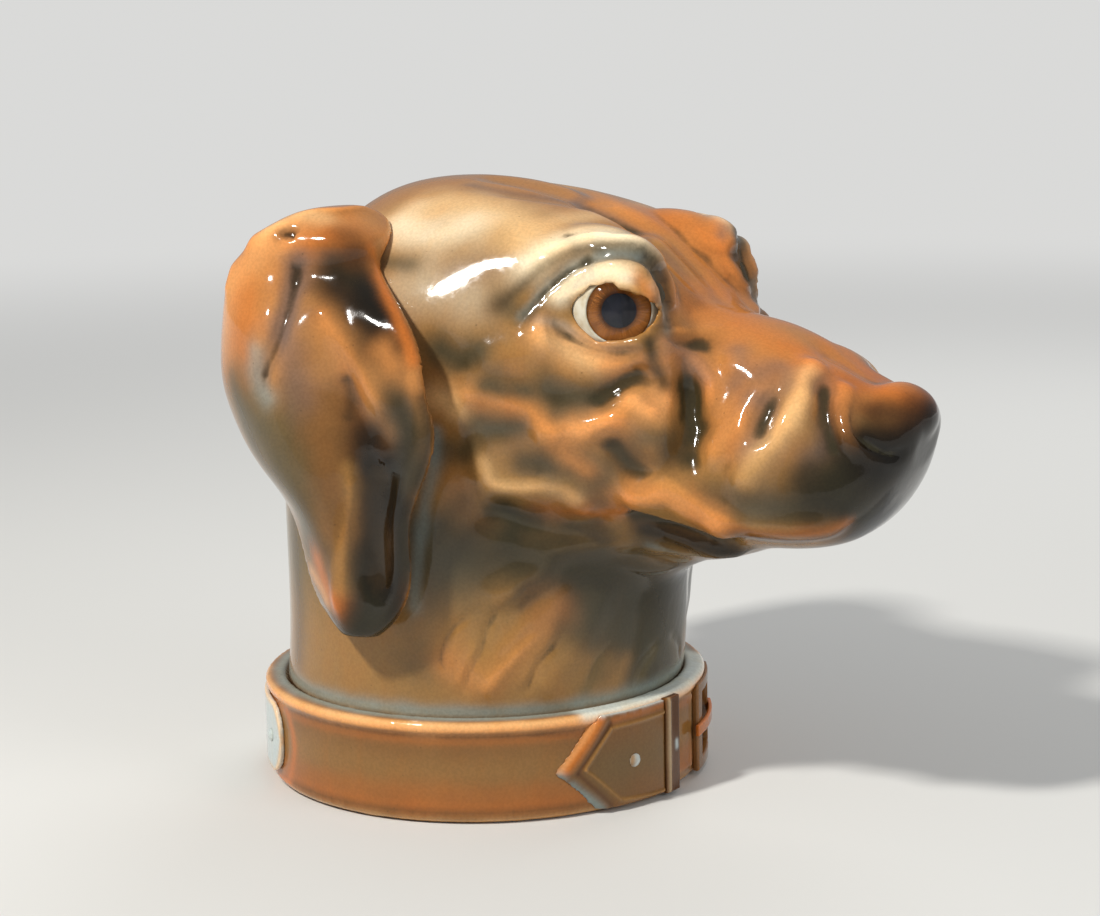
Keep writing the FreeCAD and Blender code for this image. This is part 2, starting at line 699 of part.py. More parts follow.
def swelling(place, rows):
    """How far the skin stands out at a place of the right side, in all."""
    total = 0
    for half_width, amount, places in rows:
        off = min(way_off(place, start, stop) for start, stop in zip(places, places[1:]))
        total += amount * (1 + math.cos(math.pi * min(off / half_width, 1))) / 2
    return total


def relieved_head():
    """The head's mass with the swellings and hollows worked into its skin."""
    surface = skin_surface([head_section(station, 0) for station in STATION_SHARES])[0]
    rows = relief_rows()
    sections = []
    for section in range(RELIEF_SECTIONS):
        lengthwise = section / (RELIEF_SECTIONS - 1)
        points = []
        for number in range(RELIEF_PLACES):
            around = number / RELIEF_PLACES
            place = surface.value(around, lengthwise)
            rise = swelling(FreeCAD.Vector(place.x, -abs(place.y), place.z), rows)
            points.append(place + surface.normal(around, lengthwise) * rise * OUTWARD)
        sections.append(points)
    return skinned(sections)


def make_brow(sign):
    """The heavy brow over one eye."""
    centre = eye_centre(sign) + UP * size("brow_lift")
    return ellipsoid(centre, size("brow_half_length"), size("brow_half_width"), size("brow_half_height"))


def make_lobe(sign):
    """The rounded lobe of the forehead over one eye."""
    forward, up, aside, half_length, half_width, half_height = LOBE_SHARES
    neck = worked_out(NECK_RADIUS)
    centre = FreeCAD.Vector(along(forward, up), sign * aside * neck, upward(up))
    return ellipsoid(centre, half_length * neck, half_width * neck, half_height * neck)


def make_head_cover():
    """The hollow head, which is the jar's cover, with its nose, brows, lids and eye sockets."""
    wall = size("head_wall")
    head = relieved_head().fuse(make_nose())
    for sign in (-1, 1):
        lids = placed(Part.makeSphere(size("eye_radius") + size("lid_wall")), eye_frame(sign))
        for mass in (make_lobe(sign), make_brow(sign), lids):
            head = head.fuse(mass)
    hollow = head_form(-wall, STATION_SHARES[:HOLLOW_STATIONS:HOLLOW_STRIDE])
    bore_low = size("seat_height") - size("overrun")
    bore = Part.makeCylinder(worked_out(NECK_RADIUS) - wall, worked_out(UPSTAND_TOP) + wall - bore_low,
                             FreeCAD.Vector(0, 0, bore_low))
    head = head.cut(hollow).cut(bore)
    ball = size("eye_radius") + size("eye_gap")
    for sign in (-1, 1):
        frame = eye_frame(sign)
        way_in = Part.makeCylinder(ball, size("overrun"), FreeCAD.Vector(0, 0, -size("overrun")))
        for cutter in (Part.makeSphere(ball), lid_opening(), way_in):
            head = head.cut(placed(cutter, frame))
        head = head.cut(make_nostril(sign))
    if not head.isValid():
        raise ValueError("the head's shape is not valid")
    head = max(head.Solids, key=lambda solid: solid.Volume)
    cover = doc.addObject("Part::Feature", "head_shape")
    cover.Shape = head
    return named(cover, "head_cover")


# Ears: hanging flaps whose level sections lie round the head, from the root down to the tip

# Each level: z, angle of the rear rim, angle of the front rim, outer radii from rear to front at five
# places, inner radius. z as for the head, radii as shares of the neck's radius, angles in degrees.
EAR_SHARES = (
    (0.962, -112, -104, (0.92, 0.95, 0.96, 0.95, 0.92), 0.78),
    (0.938, -122, -101, (1.04, 1.12, 1.11, 1.03, 0.96), 0.62),
    (0.905, -127, -94.5, (1.14, 1.22, 1.18, 1.08, 1.00), 0.60),
    (0.862, -131, -94, (1.20, 1.28, 1.22, 1.08, 1.00), 0.66),
    (0.818, -134, -87.5, (1.25, 1.32, 1.26, 1.10, 1.04), 0.80),
    (0.762, -136, -78, (1.29, 1.36, 1.32, 1.15, 1.13), 0.97),
    (0.697, -137.5, -73.5, (1.31, 1.37, 1.34, 1.17, 1.18), 1.08),
    (0.620, -137, -72, (1.31, 1.37, 1.35, 1.17, 1.21), 1.11),
    (0.566, -134, -70.2, (1.29, 1.35, 1.35, 1.18, 1.22), 1.11),
    (0.480, -123, -72.8, (1.25, 1.32, 1.34, 1.19, 1.22), 1.12),
    (0.401, -112, -76.3, (1.20, 1.27, 1.30, 1.19, 1.22), 1.11),
    (0.302, -107, -76, (1.18, 1.24, 1.28, 1.20, 1.22), 1.10),
    (0.219, -103, -79.5, (1.16, 1.22, 1.25, 1.21, 1.20), 1.09),
    (0.172, -97, -86, (1.14, 1.18, 1.19, 1.18, 1.16), 1.10),
)
OUTER_SPOTS = (0.1, 0.3, 0.52, 0.76, 0.93)
INNER_SPOTS = (0.8, 0.5, 0.2)
# How far in from its outer face each rim of an ear lies
RIM_SPOT = 0.35


def ear_section(level):
    """One level section of an ear: rear rim, outer face, front rim, inner face."""
    height, rear, front, outer_shares, inner_share = level
    radius = worked_out(NECK_RADIUS)
    z = upward(height)
    inner = inner_share * radius
    lean = FreeCAD.Vector(size("neck_lean"), 0, 0)
    rear_rim = (outer_shares[0] * (1 - RIM_SPOT) + inner_share * RIM_SPOT) * radius
    front_rim = (outer_shares[-1] * (1 - RIM_SPOT) + inner_share * RIM_SPOT) * radius
    points = [on_round(rear_rim, rear, z)]
    for spot, share in zip(OUTER_SPOTS, outer_shares):
        points.append(on_round(share * radius, rear + spot * (front - rear), z))
    points.append(on_round(front_rim, front, z))
    for spot in INNER_SPOTS:
        points.append(on_round(inner, rear + spot * (front - rear), z))
    return [point + lean for point in points]


def make_ears():
    """Both ears, each cut away where it is luted to the side of the head."""
    flap = skinned([ear_section(level) for level in EAR_SHARES])
    flap = flap.cut(head_form(size("slip_gap"), STATION_SHARES))
    flap = max(flap.Solids, key=lambda solid: solid.Volume)
    right = doc.addObject("Part::Feature", "right_ear_shape")
    right.Shape = flap
    left = doc.addObject("Part::Feature", "left_ear_shape")
    left.Shape = flap.mirror(AXIS, FreeCAD.Vector(0, 1, 0))
    return [named(right, "right_ear"), named(left, "left_ear")]


# Eyes: set glass, each an opal white, amber iris, dark pupil and clear lens, bedded in plaster

def eye_solid(kind, name, sign, **expressions):
    """A primitive of the eye, on the eye's own axis."""
    item = doc.addObject(kind, name)
    lift = expressions.pop("lift", "0")
    bind(item, **expressions)
    item.Placement = eye_frame(sign).multiply(
        FreeCAD.Placement(FreeCAD.Vector(0, 0, worked_out(lift)), FreeCAD.Rotation()))
    return item


def make_eye(side, sign):
    """The flat-backed glass eye on one side, and the plaster that beds it."""
    iris_face = "(eye_radius - iris_depth)"
    ball = eye_solid("Part::Sphere", f"{side}_white_ball", sign, Radius="eye_radius")
    back = eye_solid("Part::Cylinder", f"{side}_white_back", sign, Radius="eye_radius * 2",
                     Height="eye_radius + eye_back", lift="0 - eye_radius")
    dome = boolean("Part::Cut", f"{side}_dome", ball, back)
    well = eye_solid("Part::Cylinder", f"{side}_white_well", sign, Radius="iris_radius + glass_gap",
                     Height="overrun", lift=f"{iris_face} - iris_wall")
    white = boolean("Part::Cut", f"{side}_white", dome, well)

    disc = eye_solid("Part::Cylinder", f"{side}_iris_disc", sign, Radius="iris_radius",
                     Height="iris_wall", lift=f"{iris_face} - iris_wall")
    hole = eye_solid("Part::Cylinder", f"{side}_iris_hole", sign, Radius="pupil_radius + glass_gap",
                     Height="overrun", lift=f"{iris_face} - iris_wall / 2")
    iris = boolean("Part::Cut", f"{side}_iris", disc, hole)
    pupil = eye_solid("Part::Cylinder", f"{side}_pupil", sign, Radius="pupil_radius",
                      Height="iris_wall / 2", lift=f"{iris_face} - iris_wall / 2")

    front = eye_solid("Part::Sphere", f"{side}_lens_ball", sign, Radius="eye_radius")
    column = eye_solid("Part::Cylinder", f"{side}_lens_column", sign, Radius="iris_radius",
                       Height="overrun", lift=iris_face)
    lens = boolean("Part::Common", f"{side}_lens", front, column)

    plaster = eye_solid("Part::Cylinder", f"{side}_plaster", sign, Radius="eye_radius",
                        Height="plaster_wall", lift="eye_back - plaster_wall")
    return [named(item, f"{side}_eye_{label}") for item, label in
            ((white, "white"), (iris, "iris"), (pupil, "pupil"), (lens, "lens"), (plaster, "plaster"))]


collar_base = make_collar_base()
pieces = [
    collar_base,
    make_strap_tip(collar_base),
    make_strap_keeper(collar_base),
    make_buckle_frame(collar_base),
    make_buckle_tongue(),
    make_strap_stud(),
    make_name_plate(),
    make_plate_rivets(),
    make_head_cover(),
]
pieces += make_ears()
pieces += make_eye("right", -1)
pieces += make_eye("left", 1)
doc.recompute()

for item in doc.Objects:
    for state in item.State:
        if state in ("Invalid", "Error"):
            raise RuntimeError(f"{item.Name} did not build")

for piece in pieces:
    shape = piece.Shape
    if shape.isNull() or not shape.isValid():
        raise RuntimeError(f"{piece.Label} has no valid shape")
    shape.exportStep(f"parts/{piece.Label}.step")
    print(f"{piece.Label}: {len(shape.Solids)} solid(s), {shape.Volume:.1f} cubic mm")
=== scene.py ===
import logging
import math
from collections.abc import Iterator
from dataclasses import dataclass
from enum import Enum

import bmesh
import bpy
import numpy as np
from mathutils import Matrix, Vector, noise
from mathutils.bvhtree import BVHTree


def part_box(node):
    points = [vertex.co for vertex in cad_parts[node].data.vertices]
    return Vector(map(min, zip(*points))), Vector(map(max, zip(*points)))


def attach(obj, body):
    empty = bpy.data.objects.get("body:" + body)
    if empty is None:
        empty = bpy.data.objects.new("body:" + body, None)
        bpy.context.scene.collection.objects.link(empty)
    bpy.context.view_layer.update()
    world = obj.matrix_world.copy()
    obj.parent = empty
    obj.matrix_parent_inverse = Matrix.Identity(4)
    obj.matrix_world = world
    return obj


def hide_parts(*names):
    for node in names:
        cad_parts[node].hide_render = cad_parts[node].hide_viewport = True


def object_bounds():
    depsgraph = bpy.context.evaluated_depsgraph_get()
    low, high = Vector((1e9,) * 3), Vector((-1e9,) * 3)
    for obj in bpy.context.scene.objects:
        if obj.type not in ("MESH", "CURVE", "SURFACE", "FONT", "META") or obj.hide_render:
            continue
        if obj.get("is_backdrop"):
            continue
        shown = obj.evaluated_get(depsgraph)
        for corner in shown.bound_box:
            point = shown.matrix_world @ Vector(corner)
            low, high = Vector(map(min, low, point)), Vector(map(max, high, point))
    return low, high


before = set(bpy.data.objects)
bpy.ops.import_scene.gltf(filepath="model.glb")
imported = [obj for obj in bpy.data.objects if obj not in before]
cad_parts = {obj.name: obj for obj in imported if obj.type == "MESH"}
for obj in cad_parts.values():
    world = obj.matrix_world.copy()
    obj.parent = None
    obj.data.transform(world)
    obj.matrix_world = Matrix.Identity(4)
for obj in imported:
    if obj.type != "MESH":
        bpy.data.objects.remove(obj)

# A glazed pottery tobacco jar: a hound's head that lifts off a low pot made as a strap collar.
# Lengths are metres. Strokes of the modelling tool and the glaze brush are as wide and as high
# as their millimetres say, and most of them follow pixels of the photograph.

CAD_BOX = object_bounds()
MM = 0.001
log = logging.getLogger("tobacco_jar")

Pixel = tuple[float, float]
Colour = tuple[float, float, float]
Place = tuple[float, float, float]
Fed = bpy.types.NodeSocket | float | Colour


def link_object(name: str, data: bpy.types.ID) -> bpy.types.Object:
    """Put a new object into the scene.

    Args:
        name: the object's name.
        data: its mesh, lamp or camera.

    Returns:
        The new object.
    """
    item = bpy.data.objects.new(name, data)
    bpy.context.scene.collection.objects.link(item)
    return item


@dataclass(frozen=True)
class PhotoCamera:
    """The camera of the photograph: where it stands, how it looks and how it maps pixels."""

    azimuth: float = 30.0
    elevation: float = 10.5
    roll: float = -1.1
    distance: float = 0.640
    lens: float = 86.4
    sensor: float = 36.0
    aside: float = 0.0168
    height: float = 0.0748
    image_width: int = 1100
    image_height: int = 916
    nearest: float = 0.01

    def level(self) -> Vector:
        """Unit vector to the right of the camera, along the floor."""
        turn = math.radians(self.azimuth)
        return Vector((math.cos(turn), math.sin(turn), 0))

    def axes(self) -> tuple[Vector, Vector, Vector]:
        """The picture's own directions.

        Returns:
            Unit vectors to the right of the picture, up it and back towards the camera.
        """
        turn = math.radians(self.azimuth)
        lift = math.radians(self.elevation)
        tilt = math.radians(self.roll)
        back = Vector((math.sin(turn) * math.cos(lift), -math.cos(turn) * math.cos(lift), math.sin(lift)))
        upright = back.cross(self.level())
        right = self.level() * math.cos(tilt) + upright * math.sin(tilt)
        up = upright * math.cos(tilt) - self.level() * math.sin(tilt)
        return right, up, back

    def place(self) -> Vector:
        """Where the camera stands."""
        target = self.level() * self.aside + Vector((0, 0, self.height))
        return target + self.axes()[2] * self.distance

    def ray(self, x: float, y: float) -> Vector:
        """The direction in which one pixel of the photograph looks.

        Args:
            x: pixel column.
            y: pixel row.

        Returns:
            The unit direction, away from the camera.
        """
        right, up, back = self.axes()
        focal = self.lens / self.sensor * self.image_width
        across = (x - self.image_width / 2) / focal
        down = (y - self.image_height / 2) / focal
        return (right * across - up * down - back).normalized()

    def build(self) -> None:
        """Set the scene's camera."""
        data = bpy.data.cameras.new("photo_camera")
        data.lens = self.lens
        data.sensor_width = self.sensor
        data.clip_start = self.nearest
        camera = link_object("photo_camera", data)
        turn = Matrix(self.axes()).transposed().to_4x4()
        camera.matrix_world = Matrix.Translation(self.place()) @ turn
        bpy.context.scene.camera = camera


CAMERA = PhotoCamera()


def linear(red: int, green: int, blue: int) -> Colour:
    """A colour as light, from the numbers that a colour picker shows."""
    shares = (value / 255 for value in (red, green, blue))
    return tuple(part / 12.92 if part <= 0.04045 else ((part + 0.055) / 1.055) ** 2.4 for part in shares)


class Glaze(Enum):
    """The potter's glazes, as they look where they lie thin; some of them are also laid as painted shadow
    and painted highlights.
    """

    CREAM = linear(238, 222, 190)
    STONE = linear(190, 176, 150)
    SAND = linear(216, 176, 124)
    PEACH = linear(212, 150, 92)
    HONEY = linear(190, 126, 68)
    TAN = linear(160, 112, 64)
    ORANGE = linear(186, 106, 42)
    AMBER = linear(146, 88, 36)
    SIENNA = linear(122, 84, 44)
    BROWN = linear(84, 52, 26)
    OCHRE = linear(150, 112, 62)
    OLIVE = linear(100, 88, 56)
    SMOKE = linear(70, 66, 50)
    MOSS = linear(42, 39, 26)
    UMBER = linear(18, 15, 10)
    MAUVE = linear(112, 92, 82)
    STEEL = linear(132, 144, 140)
    PALE_BLUE = linear(190, 202, 202)


class Facing(Enum):
    """How the points of a stroke's path are given."""

    PHOTO = "pixels of the photograph"
    ROUND = "angle and height round the jar's axis"
    ABOVE = "angle and distance from the jar's axis, seen from above"


@dataclass(frozen=True)
class Stroke:
    """One stroke of the modelling tool: a rounded ridge, or a groove where the rise is negative."""

    width: float
    rise: float
    path: tuple[Pixel, ...]
    facing: Facing = Facing.PHOTO
    tapered: bool = True
    both_sides: bool = True


@dataclass(frozen=True)
class Brush:
    """One stroke of the brush: glaze, and in a few places painted shadow and painted highlights."""

    glaze: Glaze
    width: float
    strength: float
    path: tuple[Pixel, ...]
    facing: Facing = Facing.PHOTO
    both_sides: bool = True


def smooth_line(path: tuple[Pixel, ...], step: float) -> list[Pixel]:
    """Points along a smooth line through the path's points.

    Args:
        path: the points that the line goes through.
        step: the greatest distance between two of the returned points.

    Returns:
        The points.
    """
    points = [np.array(point, float) for point in path]
    ends = [2 * points[0] - points[1]] + points + [2 * points[-1] - points[-2]]
    line = []
    for index in range(1, len(ends) - 2):
        before, start, stop, after = ends[index - 1:index + 3]
        count = max(2, math.ceil(np.linalg.norm(stop - start) / step))
        for share in np.linspace(0, 1, count, endpoint=False):
            line.append(0.5 * (2 * start + (stop - before) * share
                               + (2 * before - 5 * start + 4 * stop - after) * share ** 2
                               + (3 * start - before - 3 * stop + after) * share ** 3))
    line.append(points[-1])
    return [(float(x), float(y)) for x, y in line]


def softly(share: np.ndarray) -> np.ndarray:
    """Shares from 0 to 1 with soft ends."""
    share = np.clip(share, 0, 1)
    return share * share * (3 - 2 * share)


class Clay:
    """A mesh in the maker's hands: its points are raised, pressed and painted by strokes."""

    STEP = {Facing.PHOTO: 3.0, Facing.ROUND: 0.4, Facing.ABOVE: 1.0}
    LONGEST_JUMP = 5 * MM
    MOST_MISSES = 0.25
    OUTSIDE = 0.2
    OVERHEAD = 0.3
    TOOL_REACH = 2.6
    TOOL_EDGE = 3
    TAPER = 5
    BLUNT_END = 0.15
    EVEN_CORE = 0.6
    BRUSH_REACH = 2.2
    BRUSH_FALL = 1.2
    BRUSH_EDGE = 2
    BRUSH_WRAP = 0.4
    WAVER_SCALE = 160
    WAVER = 0.35
    FINE_ROUNDS = 6
    FINE_SHARE = 1.5
    BROAD_ROUNDS = 40

    def __init__(self, mesh: bpy.types.Mesh, mirrored: bool = False) -> None:
        """Take up a mesh.

        Args:
            mesh: the mesh, all of triangles or quads.
            mirrored: every stroke is also made at the other side of the jar's middle plane.
        """
        self.mesh = mesh
        self.mirrored = mirrored
        pairs = np.zeros(len(mesh.edges) * 2, np.int32)
        mesh.edges.foreach_get("vertices", pairs)
        self.pairs = pairs.reshape(-1, 2)
        self.read()

    def read(self) -> None:
        """Read the mesh's points and normals, and the tree in which rays are cast."""
        self.points, self.normals = np.zeros((2, len(self.mesh.vertices) * 3))
        self.mesh.vertices.foreach_get("co", self.points)
        self.mesh.vertices.foreach_get("normal", self.normals)
        self.points = self.points.reshape(-1, 3)
        self.normals = self.normals.reshape(-1, 3)
        form = bmesh.new()
        form.from_mesh(self.mesh)
        self.tree = BVHTree.FromBMesh(form)
        form.free()

    def write(self) -> None:
        """Write the points back to the mesh."""
        self.mesh.vertices.foreach_set("co", self.points.ravel())
        self.mesh.update()
        self.read()

    def touch(self, facing: Facing, x: float, y: float) -> tuple[Vector, Vector] | None:
        """Where a stroke's point meets the surface.

        Args:
            facing: how the point is given.
            x: pixel column, or angle round the axis in degrees.
            y: pixel row, or height or distance in millimetres.

        Returns:
            The place and the surface's normal there, or None.
        """
        outward = Vector((math.cos(math.radians(x)), math.sin(math.radians(x)), 0))
        start, ahead = {
            Facing.PHOTO: lambda: (CAMERA.place(), CAMERA.ray(x, y)),
            Facing.ROUND: lambda: (outward * self.OUTSIDE + Vector((0, 0, y * MM)), -outward),
            Facing.ABOVE: lambda: (outward * y * MM + Vector((0, 0, self.OVERHEAD)), Vector((0, 0, -1))),
        }[facing]()
        place, normal, _, _ = self.tree.ray_cast(start, ahead)
        return None if place is None else (place, normal)

    def traces(self, stroke: Stroke | Brush) -> Iterator[tuple[np.ndarray, np.ndarray]]:
        """The stroke's path on the surface, and its mirror image where it has one.

        Args:
            stroke: the stroke of the tool or the brush.

        Yields:
            The path's places and the surface's normals there, for each side that it touches.
        """
        places, normals, misses, before = [], [], 0, None
        for x, y in smooth_line(stroke.path, self.STEP[stroke.facing]):
            hit = self.touch(stroke.facing, x, y)
            if hit is None or (before is not None and (hit[0] - before).length > self.LONGEST_JUMP):
                misses += 1
            else:
                places.append(hit[0])
                normals.append(hit[1])
            before = hit[0] if hit else before
        if misses > len(places) * self.MOST_MISSES:
            log.warning("stroke from %s misses the surface %d times", stroke.path[0], misses)
        if places:
            flip = np.array([1, -1, 1])
            yield np.array(places), np.array(normals)
            if self.mirrored and stroke.both_sides:
                yield np.array(places) * flip, np.array(normals) * flip

    def near(self, places: np.ndarray, reach: float) -> tuple[np.ndarray, np.ndarray, np.ndarray]:
        """The points within reach of a path.

        Args:
            places: the path.
            reach: the greatest distance.

        Returns:
            Their numbers, their distances and the number of the path's nearest place for each.
        """
        inside = ((self.points > places.min(0) - reach) & (self.points < places.max(0) + reach)).all(1)
        inside = np.flatnonzero(inside)
        best = np.full(len(inside), np.inf)
        which = np.zeros(len(inside), int)
        for number, place in enumerate(places):
            distance = np.linalg.norm(self.points[inside] - place, axis=1)
            closer = distance < best
            best[closer] = distance[closer]
            which[closer] = number
        kept = best < reach
        return inside[kept], best[kept], which[kept]

    def model(self, strokes: tuple[Stroke, ...]) -> None:
        """Make one layer of strokes, all on the surface as it is now.

        Args:
            strokes: the layer's strokes.
        """
        shift = np.zeros(len(self.points))
        for stroke in strokes:
            for places, normals in self.traces(stroke):
                chosen, distance, which = self.near(places, stroke.width * MM * self.TOOL_REACH)
                facing = (self.normals[chosen] * normals[which]).sum(1)
                amount = np.exp(-(distance / (stroke.width * MM)) ** 2)
                amount *= np.clip(facing * self.TOOL_EDGE, 0, 1)
                if stroke.tapered and len(places) > 2:
                    share = which / (len(places) - 1)
                    amount *= np.clip(np.minimum(share, 1 - share) * self.TAPER + self.BLUNT_END, 0, 1)
                shift[chosen] += amount * stroke.rise * MM
        self.points += self.normals * shift[:, None]
        self.write()

    def relax(self, x: float, y: float, radius: float, rounds: int,
              hands: tuple[int, ...] = (1, -1)) -> None:
        """Even out the surface round one pixel of the photograph.

        Args:
            x: pixel column.
            y: pixel row.
            radius: how far it reaches, in millimetres.
            rounds: how often each point is evened out with its neighbours.
            hands: 1 for the place itself, -1 for its mirror image.
        """
        place = np.array(self.touch(Facing.PHOTO, x, y)[0])
        even = self.smoothed(self.points, rounds)
        for hand in hands:
            distance = np.linalg.norm(self.points - place * (1, hand, 1), axis=1) / MM
            share = softly((radius - distance) / (self.EVEN_CORE * radius))
            self.points += (even - self.points) * share[:, None]
        self.write()

    def smoothed(self, values: np.ndarray, rounds: int) -> np.ndarray:
        """Values of the points, evened out.

        Args:
            values: one or more numbers for each point.
            rounds: how often each point is evened out with its neighbours.

        Returns:
            The new values.
        """
        first, second = self.pairs.T
        count = len(self.points)
        links = np.bincount(self.pairs.ravel(), minlength=count)
        columns = values.reshape(count, -1).copy()
        for _ in range(rounds):
            for told in columns.T:
                total = np.bincount(first, told[second], count) + np.bincount(second, told[first], count)
                told[:] = 0.5 * told + 0.5 * total / np.maximum(links, 1)
        return columns.reshape(values.shape)

    def hollowness(self, rounds: int) -> np.ndarray:
        """How far each point lies below the surface evened out, in millimetres."""
        even = self.smoothed(self.points, rounds)
        return ((even - self.points) * self.normals).sum(1) / MM

    def paint(self, ground: Glaze, brushes: tuple[Brush, ...], pool_scale: float) -> None:
        """Lay the colours, glaze together with painted shadow and highlights, and the depth to which the
        glaze pools into the mesh's attributes.

        Args:
            ground: the glaze under all the brush strokes.
            brushes: the strokes, the later over the earlier.
            pool_scale: hollow depth in millimetres at which the glaze pools fully.
        """
        tint = np.tile(np.array(ground.value), (len(self.points), 1))
        waver = np.array([noise.noise(Vector(point) * self.WAVER_SCALE) for point in self.points])
        for brush in brushes:
            for places, normals in self.traces(brush):
                chosen, distance, which = self.near(places, brush.width * MM * self.BRUSH_REACH)
                facing = (self.normals[chosen] * normals[which]).sum(1)
                reach = distance / (brush.width * MM) * (1 + self.WAVER * waver[chosen])
                weight = np.exp(-self.BRUSH_FALL * reach ** 2) * brush.strength
                weight *= np.clip(facing * self.BRUSH_EDGE + self.BRUSH_WRAP, 0, 1)
                tint[chosen] += (np.array(brush.glaze.value) - tint[chosen]) * weight[:, None]
        tint = self.smoothed(tint, 2)
        pool = self.hollowness(self.FINE_ROUNDS) * self.FINE_SHARE + self.hollowness(self.BROAD_ROUNDS)
        self.store("tint", "FLOAT_COLOR", np.c_[tint, np.ones(len(tint))])
        self.store("pool", "FLOAT", self.smoothed(np.clip(pool / pool_scale, -1, 1), 1))

    def store(self, name: str, kind: str, values: np.ndarray) -> None:
        """Keep one value for each point in an attribute of the mesh."""
        attribute = self.mesh.attributes.new(name, kind, "POINT")
        attribute.data.foreach_set("color" if kind == "FLOAT_COLOR" else "value", values.ravel())


def merged_copy(node: str) -> bpy.types.Mesh:
    """Copy a CAD node's mesh and join up its loose triangles.

    Args:
        node: the node's name.

    Returns:
        The new mesh.
    """
    form = bmesh.new()
    form.from_mesh(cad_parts[node].data)
    bmesh.ops.remove_doubles(form, verts=form.verts, dist=0.001 * MM)
    mesh = bpy.data.meshes.new(node)
    form.to_mesh(mesh)
    form.free()
    return mesh


def applied(carrier: bpy.types.Object) -> bpy.types.Mesh:
    """Take a mesh with its modifiers applied off the object that carries it.

    Args:
        carrier: the object, which is then deleted.

    Returns:
        The finished mesh.
    """
    result = bpy.data.meshes.new_from_object(carrier.evaluated_get(bpy.context.evaluated_depsgraph_get()))
    bpy.data.objects.remove(carrier)
    return result


def remade(node: str, voxel: float, rounds: int) -> bpy.types.Mesh:
    """Build a CAD node's mesh up anew of even small faces, and soften it.

    Args:
        node: the node's name.
        voxel: size of the new faces.
        rounds: how often it is softened.

    Returns:
        The new mesh.
    """
    carrier = link_object("carrier", merged_copy(node))
    remesh = carrier.modifiers.new("even_faces", "REMESH")
    remesh.mode = "VOXEL"
    remesh.voxel_size = voxel
    soften = carrier.modifiers.new("soften", "SMOOTH")
    soften.factor = 0.5
    soften.iterations = rounds
    return applied(carrier)


def eye_axis(side: str) -> tuple[np.ndarray, np.ndarray]:
    """Where one glass eye is and where it looks.

    Args:
        side: right or left.

    Returns:
        The eye's centre, and the unit vector in which it looks.
    """
    corners = np.array([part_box(f"{side}_eye_{part}") for part in ("white", "lens")])
    centre = (corners[:, 0].min(0) + corners[:, 1].max(0)) / 2
    gaze = np.array(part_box(f"{side}_eye_pupil")).mean(0) - centre
    return centre, gaze / np.linalg.norm(gaze)


def add_piece(name: str, mesh: bpy.types.Mesh, finish: bpy.types.Material, body: str, slot: str,
              node: str) -> None:
    """Place a finished mesh in the scene as a piece of the jar.

    Args:
        name: the piece's name.
        mesh: its mesh, in place.
        finish: its material.
        body: the CAD body that it moves with.
        slot: not used.
        node: the CAD node that it stands for.
    """
    mesh.name = name
    mesh.materials.clear()
    mesh.materials.append(finish)
    mesh.shade_smooth()
    piece = link_object(name, mesh)
    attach(piece, body)
    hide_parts(node)
    log.info("%s: %d points", name, len(mesh.vertices))


class Wiring:
    """Short ways to place and join the nodes of one material, world or group."""

    def __init__(self, owner: bpy.types.Material | bpy.types.World | bpy.types.NodeTree) -> None:
        """Take up an empty node tree.

        Args:
            owner: the tree, or the material or world that holds it.
        """
        if not isinstance(owner, bpy.types.NodeTree):
            owner.use_nodes = True
            owner = owner.node_tree
        self.tree = owner
        self.tree.nodes.clear()

    def add(self, kind: str, inputs: dict | None = None, **settings) -> bpy.types.Node:
        """Place one node.

        Args:
            kind: the node's type, without the leading ShaderNode.
            inputs: for each input, by name or number, its value or the output that feeds it.
            **settings: the node's own properties.

        Returns:
            The node.
        """
        node = self.tree.nodes.new("ShaderNode" + kind)
        for name, value in settings.items():
            setattr(node, name, value)
        for key, value in (inputs or {}).items():
            if isinstance(value, bpy.types.NodeSocket):
                self.tree.links.new(value, node.inputs[key])
            else:
                node.inputs[key].default_value = value
        return node

    def place(self) -> bpy.types.NodeSocket:
        """Where on its object a point lies."""
        return self.add("TexCoord").outputs["Object"]

    def plus(self, first: Fed, second: Fed) -> bpy.types.NodeSocket:
        """Two numbers added."""
        return self.add("Math", {0: first, 1: second}, operation="ADD").outputs[0]

    def times(self, first: Fed, second: Fed) -> bpy.types.NodeSocket:
        """Two numbers multiplied."""
        return self.add("Math", {0: first, 1: second}, operation="MULTIPLY").outputs[0]

    def grade(self, value: Fed, low: float, high: float, start: float = 0.0,
              stop: float = 1.0) -> bpy.types.NodeSocket:
        """A value from low to high, carried over to start to stop with soft ends."""
        span = {0: value, 1: low, 2: high, 3: start, 4: stop}
        return self.add("MapRange", span, interpolation_type="SMOOTHSTEP").outputs[0]

    def mix(self, share: Fed, first: Fed, second: Fed, blend: str = "MIX") -> bpy.types.NodeSocket:
        """Mix two colours.

        Args:
            share: how much of the second there is.
            first: the first colour.
            second: the second colour.
            blend: how they are mixed.

        Returns:
            The output that carries the mixed colour.
        """
        inputs = {0: share, 6: first, 7: second}
        inputs = {key: (*value, 1) if isinstance(value, tuple) else value for key, value in inputs.items()}
        return self.add("Mix", inputs, data_type="RGBA", blend_type=blend).outputs[2]

    def noise(self, place: Fed, scale: float, detail: float = 3.0, roughness: float = 0.55,
              distortion: float = 0.0) -> bpy.types.NodeSocket:
        """A cloudy pattern."""
        return self.add("TexNoise", {"Vector": place, "Scale": scale, "Detail": detail,
                                     "Roughness": roughness, "Distortion": distortion}).outputs[0]

    def surface(self, inputs: dict) -> None:
        """Close a material with one plain shader."""
        shader = self.add("BsdfPrincipled", inputs)
        self.add("OutputMaterial", {"Surface": shader.outputs[0]})


